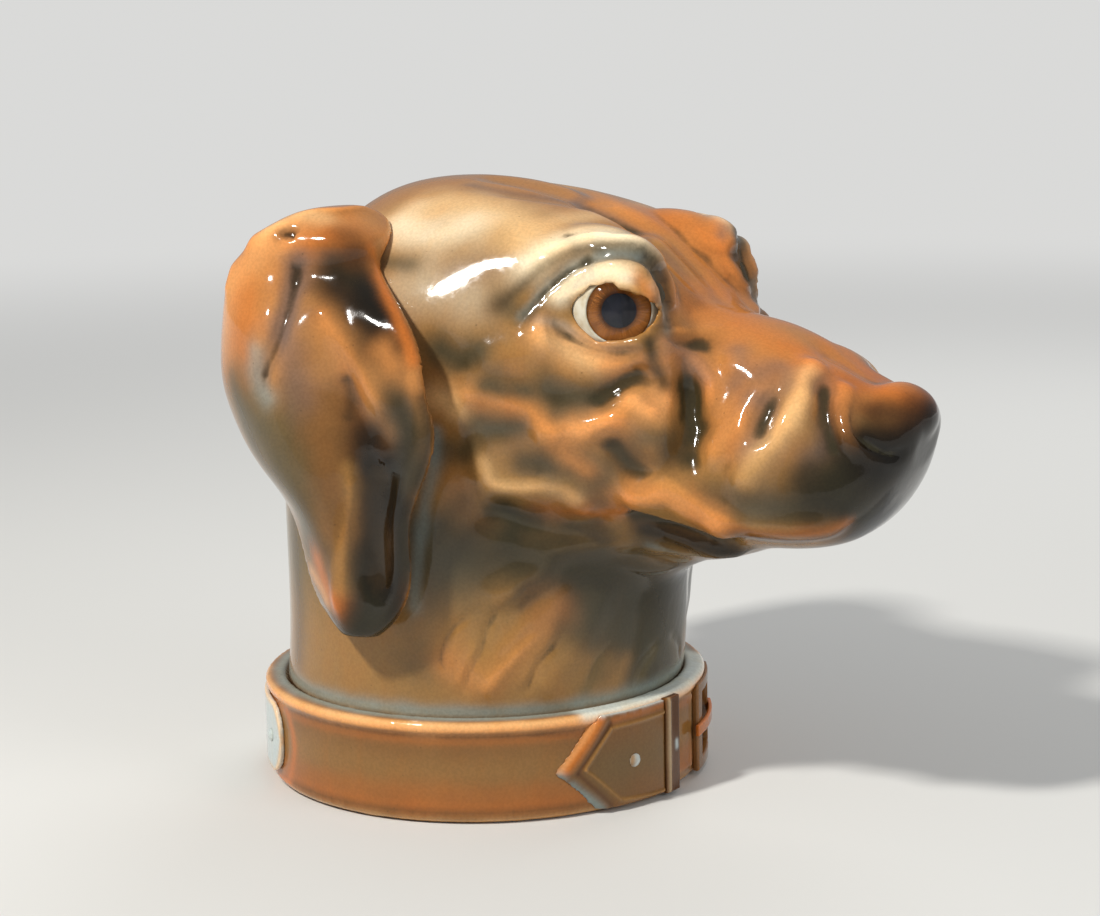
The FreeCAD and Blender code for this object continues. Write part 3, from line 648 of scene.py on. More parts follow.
@dataclass(frozen=True)
class Majolica:
    """The runny, mottled lead glaze: thin and pale on ridges, pooled and dark in hollows."""

    run_down: float = 0.45
    cloud_scale: float = 95.0
    spot_scale: float = 330.0
    grain_scale: float = 1500.0
    fleck_scale: float = 420.0
    wave_scale: float = 210.0
    wavelet_scale: float = 700.0
    thin: Colour = (1.75, 1.6, 1.4)
    warm: Colour = (1.15, 0.95, 0.72)
    iron: Colour = (0.035, 0.022, 0.012)

    def make(self) -> bpy.types.NodeTree:
        """Build the effect that the glazes share.

        Returns:
            The node group, which gives a colour, a roughness and a height.
        """
        group = bpy.data.node_groups.new("majolica", "ShaderNodeTree")
        w = Wiring(group)
        for label, kind in {"Place": "Vector", "Tint": "Color", "Pool": "Float", "Deep": "Color",
                            "Pooling": "Float", "Mottle": "Float", "Specks": "Float"}.items():
            group.interface.new_socket(label, in_out="INPUT", socket_type="NodeSocket" + kind)
        for label, kind in {"Colour": "Color", "Roughness": "Float", "Height": "Float"}.items():
            group.interface.new_socket(label, in_out="OUTPUT", socket_type="NodeSocket" + kind)
        given = group.nodes.new("NodeGroupInput").outputs
        result = group.nodes.new("NodeGroupOutput")
        place = given["Place"]
        drawn = w.add("Mapping", {"Vector": place, "Scale": (1, 1, self.run_down)}).outputs[0]
        clouds = w.noise(drawn, self.cloud_scale, 4, 0.6, 0.6)
        spots = w.noise(place, self.spot_scale, 4, 0.6, 0.4)
        grains = w.noise(place, self.grain_scale, 2, 0.5)
        uneven = w.plus(w.plus(clouds, -0.5), w.times(w.plus(spots, -0.5), 0.8))
        pooled = w.plus(given["Pool"], w.times(uneven, given["Mottle"]))
        deep = w.times(w.grade(pooled, 0.05, 1.1), given["Pooling"])
        half_deep = w.mix(0.55, given["Tint"], given["Deep"])
        body = w.mix(w.grade(deep, 0.0, 0.6), given["Tint"], half_deep)
        body = w.mix(w.times(w.grade(deep, 0.45, 1.0), 0.8), body, given["Deep"])
        thinness = w.times(w.grade(pooled, -0.1, -0.9), 0.5)
        warmth = w.times(w.grade(clouds, 0.4, 0.7), 0.4)
        for share, colour in ((thinness, self.thin), (warmth, self.warm)):
            body = w.mix(share, body, w.mix(1.0, body, colour, "MULTIPLY"))
        cells = w.add("TexVoronoi", {"Vector": place, "Scale": self.fleck_scale, "Randomness": 1.0})
        flecks = w.times(w.grade(cells.outputs["Distance"], 0.13, 0.05), w.grade(spots, 0.52, 0.6))
        body = w.mix(w.times(flecks, given["Specks"]), body, self.iron)
        fine = w.grade(grains, 0.3, 0.7, 0.93, 1.06)
        body = w.mix(1.0, body, w.add("CombineColor", {0: fine, 1: fine, 2: fine}).outputs[0], "MULTIPLY")
        ripple = w.plus(w.times(w.noise(place, self.wave_scale, 3, 0.5), 0.7),
                        w.times(w.noise(place, self.wavelet_scale, 2, 0.5), 0.3))
        group.links.new(body, result.inputs["Colour"])
        group.links.new(w.grade(spots, 0.3, 0.8, 0.07, 0.16), result.inputs["Roughness"])
        group.links.new(ripple, result.inputs["Height"])
        return group


@dataclass(frozen=True)
class GlazeFinish:
    """A glossy pottery glaze whose colours, painted shadow and highlights among them, the mesh's own
    attributes carry.
    """

    name: str
    deep: Colour
    pooling: float = 1.0
    mottle: float = 0.4
    specks: float = 0.35
    ripple: float = 0.12
    ripple_height: float = 0.6 * MM

    def make(self, group: bpy.types.NodeTree) -> bpy.types.Material:
        """Make the material.

        Args:
            group: the shared glaze effect.

        Returns:
            The new material.
        """
        material = bpy.data.materials.new(self.name)
        w = Wiring(material)
        tint = w.add("Attribute", attribute_name="tint").outputs["Color"]
        pool = w.add("Attribute", attribute_name="pool").outputs["Fac"]
        effect = w.add("Group", node_tree=group)
        for key, value in (("Place", w.place()), ("Tint", tint), ("Pool", pool)):
            w.tree.links.new(value, effect.inputs[key])
        for key, value in (("Deep", (*self.deep, 1)), ("Pooling", self.pooling), ("Mottle", self.mottle),
                           ("Specks", self.specks)):
            effect.inputs[key].default_value = value
        bump = w.add("Bump", {"Strength": self.ripple, "Distance": self.ripple_height,
                              "Height": effect.outputs["Height"]})
        w.surface({"Base Color": effect.outputs["Colour"], "Roughness": effect.outputs["Roughness"],
                   "Normal": bump.outputs[0], "IOR": 1.38, "Coat Weight": 0.12, "Coat Roughness": 0.02,
                   "Coat IOR": 1.4})
        return material


@dataclass(frozen=True)
class GlassFinish:
    """Glass of the set eyes: opal and solid, or clear."""

    name: str
    colour: Colour
    shade: Colour
    clear: bool = False
    roughness: float = 0.04
    cloud_scale: float = 320.0

    def make(self) -> bpy.types.Material:
        """Make the material.

        Returns:
            The new material.
        """
        material = bpy.data.materials.new(self.name)
        w = Wiring(material)
        cloud = w.noise(w.place(), self.cloud_scale, 3, 0.5)
        w.surface({"Base Color": w.mix(w.grade(cloud, 0.35, 0.7), self.colour, self.shade),
                   "Roughness": w.grade(cloud, 0.2, 0.8, self.roughness, self.roughness * 2),
                   "IOR": 1.4 if self.clear else 1.2,
                   "Transmission Weight": 1.0 if self.clear else 0.0})
        return material


@dataclass(frozen=True)
class IrisFinish:
    """Amber glass drawn out in fine rays from the pupil, dark at its rim."""

    centre: Place
    radius: float
    pupil: Colour = (0.10, 0.034, 0.010)
    amber: Colour = (0.48, 0.17, 0.032)
    rim: Colour = (0.05, 0.022, 0.010)

    def make(self) -> bpy.types.Material:
        """Make the material.

        Returns:
            The new material.
        """
        material = bpy.data.materials.new("amber_glass")
        w = Wiring(material)
        size = 1 / self.radius
        place = w.add("Mapping", {"Vector": w.place(), "Scale": (size,) * 3,
                                  "Location": tuple(-part * size for part in self.centre)}).outputs[0]
        share = w.add("VectorMath", {0: place}, operation="LENGTH").outputs["Value"]
        spoke = w.add("VectorMath", {0: place}, operation="NORMALIZE").outputs[0]
        rays = w.noise(spoke, 9, 3, 0.6)
        colour = w.mix(w.grade(share, 0.48, 0.72), self.pupil, self.amber)
        colour = w.mix(w.grade(rays, 0.35, 0.7, 0, 0.4), colour, self.pupil)
        colour = w.mix(w.grade(share, 0.90, 1.02), colour, self.rim)
        w.surface({"Base Color": colour, "IOR": 1.2, "Roughness": w.grade(rays, 0.2, 0.8, 0.05, 0.12)})
        return material


@dataclass(frozen=True)
class PlasterFinish:
    """Set plaster behind the glass eyes."""

    name: str = "plaster"
    shade: Colour = (0.62, 0.58, 0.49)
    colour: Colour = (0.80, 0.77, 0.69)
    cloud_scale: float = 260.0
    grain_scale: float = 900.0
    grain_height: float = 0.4 * MM

    def make(self) -> bpy.types.Material:
        """Make the material.

        Returns:
            The new material.
        """
        material = bpy.data.materials.new(self.name)
        w = Wiring(material)
        place = w.place()
        cloud = w.noise(place, self.cloud_scale, 4, 0.6)
        bump = w.add("Bump", {"Strength": 0.6, "Distance": self.grain_height,
                              "Height": w.noise(place, self.grain_scale, 4, 0.7)})
        w.surface({"Base Color": w.mix(cloud, self.shade, self.colour), "Normal": bump.outputs[0],
                   "Roughness": w.grade(cloud, 0, 1, 0.8, 0.95)})
        return material


@dataclass
class Studio:
    """The pale floor, the light and the background."""

    floor_half: float = 6.0
    floor_drop: float = 0.2 * MM
    fade_start: float = 0.25
    fade_stop: float = 1.3
    floor_colour: Colour = (0.66, 0.66, 0.64)
    backdrop: Colour = (0.70, 0.70, 0.69)
    sky: Colour = (0.80, 0.82, 0.85)
    sky_strength: float = 0.34
    middle: Place = (0.015, 0, 0.075)
    key_place: Place = (-0.52, 0.45, 0.62)
    key_colour: Colour = (1.0, 0.97, 0.92)
    key_power: float = 9.5
    key_size: float = 0.09
    fill_place: Place = (0.70, 0.55, 0.25)
    rim_place: Place = (0.30, -0.60, 0.60)
    fill_power: float = 2.6
    fill_size: float = 0.50

    def floor(self) -> None:
        """The floor, a plain sheet that fades into the background."""
        form = bmesh.new()
        bmesh.ops.create_grid(form, x_segments=1, y_segments=1, size=self.floor_half,
                              matrix=Matrix.Translation((0, 0, -self.floor_drop)))
        mesh = bpy.data.meshes.new("floor")
        form.to_mesh(mesh)
        form.free()
        material = bpy.data.materials.new("floor")
        w = Wiring(material)
        shader = w.add("BsdfPrincipled", {"Base Color": (*self.floor_colour, 1), "Roughness": 0.9})
        away = w.add("Emission", {"Color": (*self.backdrop, 1)})
        distance = w.add("VectorMath", {0: w.place()}, operation="LENGTH").outputs["Value"]
        fade = w.grade(distance, self.fade_start, self.fade_stop)
        blend = w.add("MixShader", {0: fade, 1: shader.outputs[0], 2: away.outputs[0]})
        w.add("OutputMaterial", {"Surface": blend.outputs[0]})
        mesh.materials.append(material)
        link_object("floor", mesh)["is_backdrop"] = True

    def world(self) -> None:
        """An even sky that also makes the pale background."""
        world = bpy.data.worlds.new("studio")
        w = Wiring(world)
        path = w.add("LightPath").outputs
        rays = {0: path["Is Camera Ray"], 1: path["Is Transmission Ray"]}
        seen = w.add("Math", rays, operation="MAXIMUM")
        light = w.add("Background", {"Color": (*self.sky, 1), "Strength": self.sky_strength})
        backdrop = w.add("Background", {"Color": (*self.backdrop, 1)})
        blend = w.add("MixShader", {0: seen.outputs[0], 1: light.outputs[0], 2: backdrop.outputs[0]})
        w.add("OutputWorld", {"Surface": blend.outputs[0]})
        bpy.context.scene.world = world

    def lamp(self, name: str, place: Place, size: float, power: float, colour: Colour = (1, 1, 1),
             mirrored: bool = False) -> None:
        """Hang one soft square lamp that points at the jar.

        Args:
            name: its name.
            place: how far it hangs to the right of the jar, towards the camera and above the jar.
            size: its edge.
            power: in watts.
            colour: its light's colour.
            mirrored: whether glossy surfaces show the lamp itself.
        """
        data = bpy.data.lights.new(name, "AREA")
        data.size = size
        data.energy = power
        data.color = colour
        right, _, back = CAMERA.axes()
        offset = right * place[0] + back * place[1] + Vector((0, 0, place[2]))
        lamp = link_object(name, data)
        lamp.location = Vector(self.middle) + offset
        lamp.visible_glossy = mirrored
        lamp.rotation_euler = offset.to_track_quat("Z", "Y").to_euler()

    def build(self) -> None:
        """Build the stage and set the view."""
        self.floor()
        self.world()
        self.lamp("key", self.key_place, self.key_size, self.key_power, self.key_colour, True)
        self.lamp("fill", self.fill_place, self.fill_size, self.fill_power)
        self.lamp("rim", self.rim_place, self.fill_size, self.fill_power)
        bpy.context.scene.view_settings.view_transform = "Standard"


def roll(width: float, rise: float, *path: Pixel) -> Stroke:
    """A ridge, or a groove where rise is negative, along pixels of the photograph."""
    return Stroke(width, rise, path)


def one_roll(width: float, rise: float, *path: Pixel) -> Stroke:
    """A ridge or groove with blunt ends, on the side that the photograph shows only."""
    return Stroke(width, rise, path, tapered=False, both_sides=False)


def round_roll(width: float, rise: float, *path: Pixel) -> Stroke:
    """A ridge or groove along angles and heights round the jar."""
    return Stroke(width, rise, path, facing=Facing.ROUND, tapered=False, both_sides=False)


def dab(glaze: Glaze, width: float, strength: float, *path: Pixel) -> Brush:
    """Colour laid along pixels of the photograph, and on the other side of the head: glaze, and in places
    painted shadow and highlights.
    """
    return Brush(glaze, width, strength, path)


def one_dab(glaze: Glaze, width: float, strength: float, *path: Pixel) -> Brush:
    """Glaze laid along pixels of the photograph, on the side that they show only."""
    return Brush(glaze, width, strength, path, both_sides=False)


def band(glaze: Glaze, width: float, strength: float, *path: Pixel) -> Brush:
    """Colour laid along angles and heights round the jar: glaze, and on the bead and the keeper painted
    highlights.
    """
    return Brush(glaze, width, strength, path, Facing.ROUND, False)


def ledge(glaze: Glaze, width: float, strength: float, *path: Pixel) -> Brush:
    """Glaze laid along angles and distances from the jar's axis, from above."""
    return Brush(glaze, width, strength, path, Facing.ABOVE, False)


def all_round(height: float) -> tuple[Pixel, ...]:
    """A path all round the jar at one height, or at one distance from its axis."""
    return tuple((float(angle), height) for angle in range(-180, 181, 20))


# Brow, lids, the folds round the eye and the bridge beyond it
HEAD_FORMS = (
    roll(4.0, 1.0, (520, 287), (540, 267), (560, 252), (600, 241), (635, 242), (655, 256), (668, 277),
         (676, 302)),
    roll(3.0, -0.8, (460, 185), (510, 193), (570, 203), (625, 225), (665, 255), (700, 290), (730, 308)),
    roll(2.2, -1.4, (520, 322), (535, 304), (552, 288), (580, 267), (618, 257), (645, 262), (661, 284),
         (667, 312), (668, 332)),
    roll(2.6, -1.4, (640, 250), (656, 260), (667, 282), (671, 306)),
    roll(3.0, -0.4, (686, 392), (690, 420), (684, 450)),
    one_roll(5.0, -1.6, (832, 352), (846, 359), (858, 366), (870, 373)),
    one_roll(3.4, -1.2, (856, 349), (861, 353), (866, 359), (872, 366), (880, 372), (888, 378)),
)

# The finer folds that lie on those forms
HEAD_FOLDS = (
    roll(1.7, 1.1, (533, 320), (545, 305), (562, 288), (590, 270), (618, 264), (640, 270), (652, 288),
         (658, 312), (659, 334)),
    roll(1.0, -0.5, (555, 239), (580, 231), (600, 229), (625, 233)),
    roll(1.2, 0.6, (558, 304), (572, 295), (590, 289), (612, 286), (632, 289), (648, 302), (656, 320)),
    roll(1.2, 0.6, (560, 320), (578, 332), (600, 341), (620, 344), (640, 340), (655, 328)),
    roll(1.6, -0.8, (556, 326), (578, 341), (604, 352), (630, 353), (648, 346)),
    roll(1.5, -0.8, (657, 322), (652, 340), (655, 362)),
    roll(2.0, -0.8, (648, 366), (625, 381), (604, 397)),
    roll(1.6, 0.6, (657, 340), (675, 350), (695, 362), (709, 385), (706, 410)),
    roll(2.6, -0.8, (668, 340), (690, 345), (714, 343)),
    roll(2.0, 0.6, (664, 327), (682, 332), (702, 333), (724, 326)),
    roll(1.8, 0.5, (622, 398), (640, 408), (660, 414)),
    roll(1.6, 0.5, (838, 388), (837, 412), (845, 440), (858, 463)),
    roll(1.4, -1.2, (853, 402), (853, 425), (863, 440), (880, 452), (896, 455), (908, 449)),
    roll(1.3, 0.6, (848, 404), (847, 428), (858, 446), (878, 459), (894, 463)),
    roll(1.6, 0.5, (640, 483), (668, 484), (694, 500), (720, 518), (750, 527), (800, 530), (842, 524)),
    roll(1.6, -0.8, (650, 517), (690, 527), (728, 545)),
    roll(1.6, -0.6, (650, 545), (672, 553), (704, 557)),
    roll(1.4, 0.6, (662, 531), (684, 541), (704, 549)),
    roll(1.6, 0.5, (487, 466), (493, 484), (516, 488), (560, 487), (584, 502)),
    roll(1.4, 0.4, (545, 554), (570, 548), (600, 545), (632, 540)),
    roll(1.4, 0.4, (610, 560), (648, 570), (682, 566)),
    roll(1.6, 0.5, (505, 600), (522, 582), (545, 572)),
    roll(1.6, 0.4, (478, 640), (470, 660), (452, 690)),
    roll(1.6, 0.4, (520, 640), (505, 665), (480, 696)),
    roll(1.6, 0.4, (556, 620), (540, 655), (516, 690)),
    roll(1.0, -0.5, (502, 606), (488, 628), (480, 652), (468, 674), (464, 696)),
    roll(1.0, -0.5, (474, 612), (450, 632), (440, 658), (448, 676)),
    roll(1.0, -0.45, (558, 640), (538, 664), (526, 694)),
    roll(1.0, -0.45, (538, 626), (514, 648), (498, 666)),
    roll(1.0, -0.4, (616, 640), (596, 664), (586, 690)),
    roll(1.0, -0.4, (660, 640), (640, 664), (632, 684)),
)

# Colours of the head: glaze, with painted shadow under the brow, under the jaw and on the neck, and painted
# highlights along the lid gutter.
HEAD_GLAZES_AND_PAINTED_LIGHT = (
    band(Glaze.TAN, 22, 1.0, (100, 112), (140, 112), (180, 112), (220, 112), (260, 112)),
    band(Glaze.OCHRE, 20, 0.9, (100, 85), (140, 80), (180, 80), (220, 80), (260, 85)),
    band(Glaze.OLIVE, 16, 0.8, (110, 60), (150, 55), (180, 55), (210, 55), (250, 60)),
    band(Glaze.OCHRE, 12, 0.8, (60, 36), (120, 34), (180, 36), (240, 34), (300, 36)),
    band(Glaze.SMOKE, 7, 0.45, (150, 128), (148, 100), (152, 70), (150, 50)),
    band(Glaze.HONEY, 6, 0.6, (168, 130), (172, 104), (170, 80)),
    band(Glaze.SMOKE, 6, 0.4, (192, 122), (196, 96), (194, 66)),
    band(Glaze.HONEY, 6, 0.5, (216, 126), (214, 98), (218, 74)),
    band(Glaze.MOSS, 5, 0.5, (128, 70), (126, 48), (128, 32)),
    band(Glaze.MOSS, 5, 0.5, (232, 70), (234, 48), (232, 32)),
    band(Glaze.SAND, 5, 0.5, (160, 40), (176, 34), (190, 40)),
    dab(Glaze.TAN, 14, 1.0, (372, 205), (420, 182), (480, 180), (560, 190), (640, 210)),
    dab(Glaze.SAND, 9, 0.9, (395, 225), (440, 205), (490, 210), (520, 225)),
    dab(Glaze.CREAM, 6, 0.7, (400, 225), (430, 235), (470, 225)),
    dab(Glaze.OCHRE, 9, 0.7, (395, 285), (430, 290), (470, 300), (440, 320)),
    dab(Glaze.STONE, 8, 0.6, (405, 285), (440, 285), (470, 298)),
    dab(Glaze.MAUVE, 5, 0.35, (455, 275), (485, 268), (505, 275)),
    dab(Glaze.SMOKE, 3, 0.7, (388, 262), (410, 265)),
    dab(Glaze.OCHRE, 4, 0.6, (505, 285), (528, 268), (545, 256)),
    dab(Glaze.SMOKE, 3.5, 0.7, (500, 305), (515, 312), (530, 318)),
    dab(Glaze.CREAM, 5, 1.0, (530, 262), (555, 243), (595, 234), (630, 238), (648, 250)),
    dab(Glaze.SAND, 4, 0.8, (520, 240), (555, 222), (600, 214)),
    one_dab(Glaze.HONEY, 12, 1.0, (620, 205), (660, 222), (700, 235), (722, 255), (722, 285)),
    one_dab(Glaze.ORANGE, 8, 0.6, (660, 212), (700, 230), (725, 262)),
    dab(Glaze.MAUVE, 1.8, 0.7, (470, 185), (510, 193), (570, 203), (625, 225), (665, 255), (700, 290),
        (730, 308)),
    # Painted shadow: dark dabs in the groove under the brow's overhang.
    dab(Glaze.SMOKE, 2.4, 0.8, (600, 252), (630, 250), (652, 258), (665, 282), (671, 306)),
    dab(Glaze.MOSS, 3.0, 0.7, (640, 256), (658, 270), (668, 300)),
    dab(Glaze.HONEY, 12, 1.0, (700, 315), (740, 328), (790, 352), (840, 378)),
    dab(Glaze.ORANGE, 8, 0.5, (700, 305), (750, 325), (800, 352), (840, 374)),
    dab(Glaze.HONEY, 10, 1.0, (700, 370), (730, 400), (720, 440), (760, 460)),
    # Painted shadow under the brow's edge and in the gutter above the upper lid.
    dab(Glaze.MOSS, 1.8, 0.75, (500, 305), (520, 288), (545, 266), (575, 251), (605, 245), (632, 245),
        (652, 256), (664, 280), (670, 305)),
    dab(Glaze.MOSS, 1.6, 0.7, (530, 318), (552, 292), (580, 270), (615, 259), (645, 266), (660, 292),
        (668, 330)),
    # Painted highlights: thin pale lines along the rims of the lid gutter.
    dab(Glaze.STEEL, 0.9, 0.8, (520, 318), (548, 286), (578, 264), (616, 254), (640, 258)),
    dab(Glaze.STEEL, 0.9, 0.7, (652, 284), (662, 306), (668, 334)),
    dab(Glaze.CREAM, 2.6, 1.0, (560, 296), (580, 280), (605, 272), (628, 276)),
    dab(Glaze.ORANGE, 2.0, 0.5, (636, 277), (648, 290), (654, 306)),
    dab(Glaze.STEEL, 1.6, 0.8, (540, 322), (560, 326), (580, 340), (604, 350), (625, 352)),
    dab(Glaze.SMOKE, 3.0, 0.8, (588, 350), (606, 355), (626, 355), (644, 349)),
    dab(Glaze.MOSS, 2.4, 0.8, (612, 360), (632, 360), (648, 354), (654, 366)),
    dab(Glaze.MOSS, 1.4, 0.7, (655, 300), (660, 322), (656, 340)),
    dab(Glaze.PEACH, 4.5, 0.9, (545, 335), (565, 348), (592, 360), (622, 370)),
    dab(Glaze.SAND, 3, 0.7, (548, 338), (568, 352), (590, 364)),
    dab(Glaze.TAN, 14, 0.9, (450, 395), (500, 405), (560, 430), (620, 430)),
    dab(Glaze.OCHRE, 8, 0.6, (470, 480), (540, 480), (600, 490)),
    dab(Glaze.SMOKE, 5.5, 0.95, (440, 350), (460, 358), (480, 352)),
    dab(Glaze.SMOKE, 3.4, 0.95, (486, 386), (506, 392), (524, 392)),
    dab(Glaze.SMOKE, 4.2, 0.95, (474, 424), (500, 430), (520, 424)),
    dab(Glaze.SMOKE, 5, 0.85, (440, 452), (458, 454), (470, 446)),
    dab(Glaze.SMOKE, 5, 0.95, (548, 390), (580, 398), (612, 394)),
    dab(Glaze.SMOKE, 4, 0.8, (556, 414), (580, 414), (600, 406)),
    dab(Glaze.SMOKE, 4, 0.85, (524, 462), (546, 464)),
    dab(Glaze.SMOKE, 6, 0.9, (572, 464), (598, 478), (604, 502)),
    dab(Glaze.MOSS, 3.6, 0.95, (618, 446), (628, 462)),
    dab(Glaze.SMOKE, 4.5, 0.85, (642, 434), (668, 438)),
    dab(Glaze.HONEY, 2.6, 0.8, (540, 418), (556, 434), (568, 456), (586, 470)),
    dab(Glaze.HONEY, 3.4, 0.8, (572, 436), (600, 426), (618, 424)),
    dab(Glaze.HONEY, 2.4, 0.7, (470, 402), (500, 406), (530, 410)),
    dab(Glaze.SAND, 3.4, 0.8, (428, 398), (446, 400), (456, 410)),
    dab(Glaze.BROWN, 2.2, 0.8, (646, 368), (625, 381), (608, 394)),
    dab(Glaze.PEACH, 4, 0.8, (632, 398), (650, 410), (664, 395), (662, 372)),
    dab(Glaze.PEACH, 4, 0.6, (575, 430), (605, 426)),
    dab(Glaze.MOSS, 4.6, 0.85, (684, 384), (694, 402), (696, 424), (686, 446), (668, 458)),
    dab(Glaze.BROWN, 3.0, 0.5, (672, 342), (690, 347), (708, 345)),
    dab(Glaze.MAUVE, 3, 0.6, (668, 345), (690, 360), (704, 378)),
    dab(Glaze.MOSS, 1.6, 0.9, (648, 340), (652, 352), (656, 368), (664, 384)),
    dab(Glaze.MAUVE, 3, 0.6, (738, 350), (742, 368), (735, 382)),
    dab(Glaze.MAUVE, 3, 0.6, (762, 372), (782, 368), (790, 385)),
    dab(Glaze.MAUVE, 4, 0.7, (752, 396), (770, 405), (765, 430), (748, 452)),
    dab(Glaze.SAND, 3.5, 0.8, (812, 376), (802, 400), (785, 428), (765, 452), (748, 476)),
    dab(Glaze.MAUVE, 4.5, 0.8, (828, 388), (834, 415), (826, 445), (810, 462)),
    dab(Glaze.BROWN, 4.5, 0.6, (836, 420), (848, 450), (860, 470)),
    dab(Glaze.HONEY, 2.6, 0.8, (842, 392), (844, 420), (852, 445)),
    dab(Glaze.ORANGE, 7, 0.9, (858, 385), (890, 390), (925, 402)),
    dab(Glaze.BROWN, 4.5, 0.7, (880, 410), (905, 418), (930, 415)),
    dab(Glaze.UMBER, 3.5, 0.9, (865, 436), (885, 448), (905, 448), (925, 432)),
    dab(Glaze.OCHRE, 7, 0.7, (700, 478), (730, 485), (770, 478)),
    dab(Glaze.SMOKE, 6, 0.9, (715, 502), (750, 508), (800, 508), (850, 495)),
    dab(Glaze.MOSS, 8, 0.7, (800, 500), (835, 480), (850, 465)),
    dab(Glaze.UMBER, 14, 1.0, (880, 470), (905, 470), (890, 505), (925, 450)),
    dab(Glaze.UMBER, 5, 0.8, (868, 446), (890, 456), (915, 450), (930, 430)),
    dab(Glaze.UMBER, 7, 0.9, (840, 500), (870, 515), (900, 510)),
    dab(Glaze.MOSS, 6, 0.8, (830, 480), (850, 505), (870, 520)),
    dab(Glaze.BROWN, 2.8, 0.8, (700, 522), (730, 534), (765, 539), (800, 541), (840, 534)),
    dab(Glaze.AMBER, 1.4, 0.8, (715, 522), (745, 531), (780, 535), (820, 533), (850, 522)),
    dab(Glaze.UMBER, 3.0, 0.9, (850, 536), (885, 528), (905, 505), (925, 470)),
    dab(Glaze.HONEY, 4, 0.9, (618, 500), (650, 494), (685, 506), (715, 524)),
    dab(Glaze.SMOKE, 3.2, 0.8, (720, 556), (770, 554), (830, 548), (875, 534)),
    dab(Glaze.UMBER, 4.2, 0.95, (646, 530), (680, 540), (710, 549), (738, 554)),
    dab(Glaze.STEEL, 0.8, 0.8, (648, 545), (676, 553), (700, 556)),
    dab(Glaze.TAN, 5, 0.7, (455, 480), (465, 505), (480, 520)),
    dab(Glaze.SAND, 1.8, 0.6, (483, 462), (496, 484), (540, 488), (576, 500)),
    dab(Glaze.ORANGE, 3.4, 0.7, (540, 510), (590, 514), (622, 512)),
    # Painted shadow: the dark dabs under the jaw crest and over the neck make the grey-olive neck darker,
    # for the shadow that the head and the ear cast on it.
    dab(Glaze.MOSS, 4, 0.95, (505, 508), (515, 522), (508, 540)),
    dab(Glaze.SMOKE, 13, 0.9, (450, 560), (520, 560), (600, 575), (660, 590)),
    dab(Glaze.MOSS, 10, 0.7, (480, 545), (560, 550), (620, 570), (670, 590)),
    dab(Glaze.MOSS, 9, 0.85, (580, 600), (630, 620), (672, 650)),
    dab(Glaze.SMOKE, 9, 0.8, (580, 620), (640, 640), (670, 660)),
    dab(Glaze.SMOKE, 7, 0.7, (430, 540), (430, 600), (425, 660)),
    dab(Glaze.OCHRE, 8, 0.9, (445, 640), (490, 660), (530, 680)),
    dab(Glaze.HONEY, 5, 0.5, (450, 660), (490, 680), (555, 610)),
    dab(Glaze.OLIVE, 2.0, 0.6, (600, 660), (586, 690)),
    dab(Glaze.OCHRE, 2.0, 0.6, (626, 660), (610, 690)),
    dab(Glaze.OLIVE, 2.0, 0.6, (654, 650), (640, 680)),
    dab(Glaze.STEEL, 1.8, 0.7, (436, 430), (433, 470), (424, 510), (417, 560), (414, 606)),
    band(Glaze.STEEL, 1.8, 0.9, *all_round(25.2)),
)


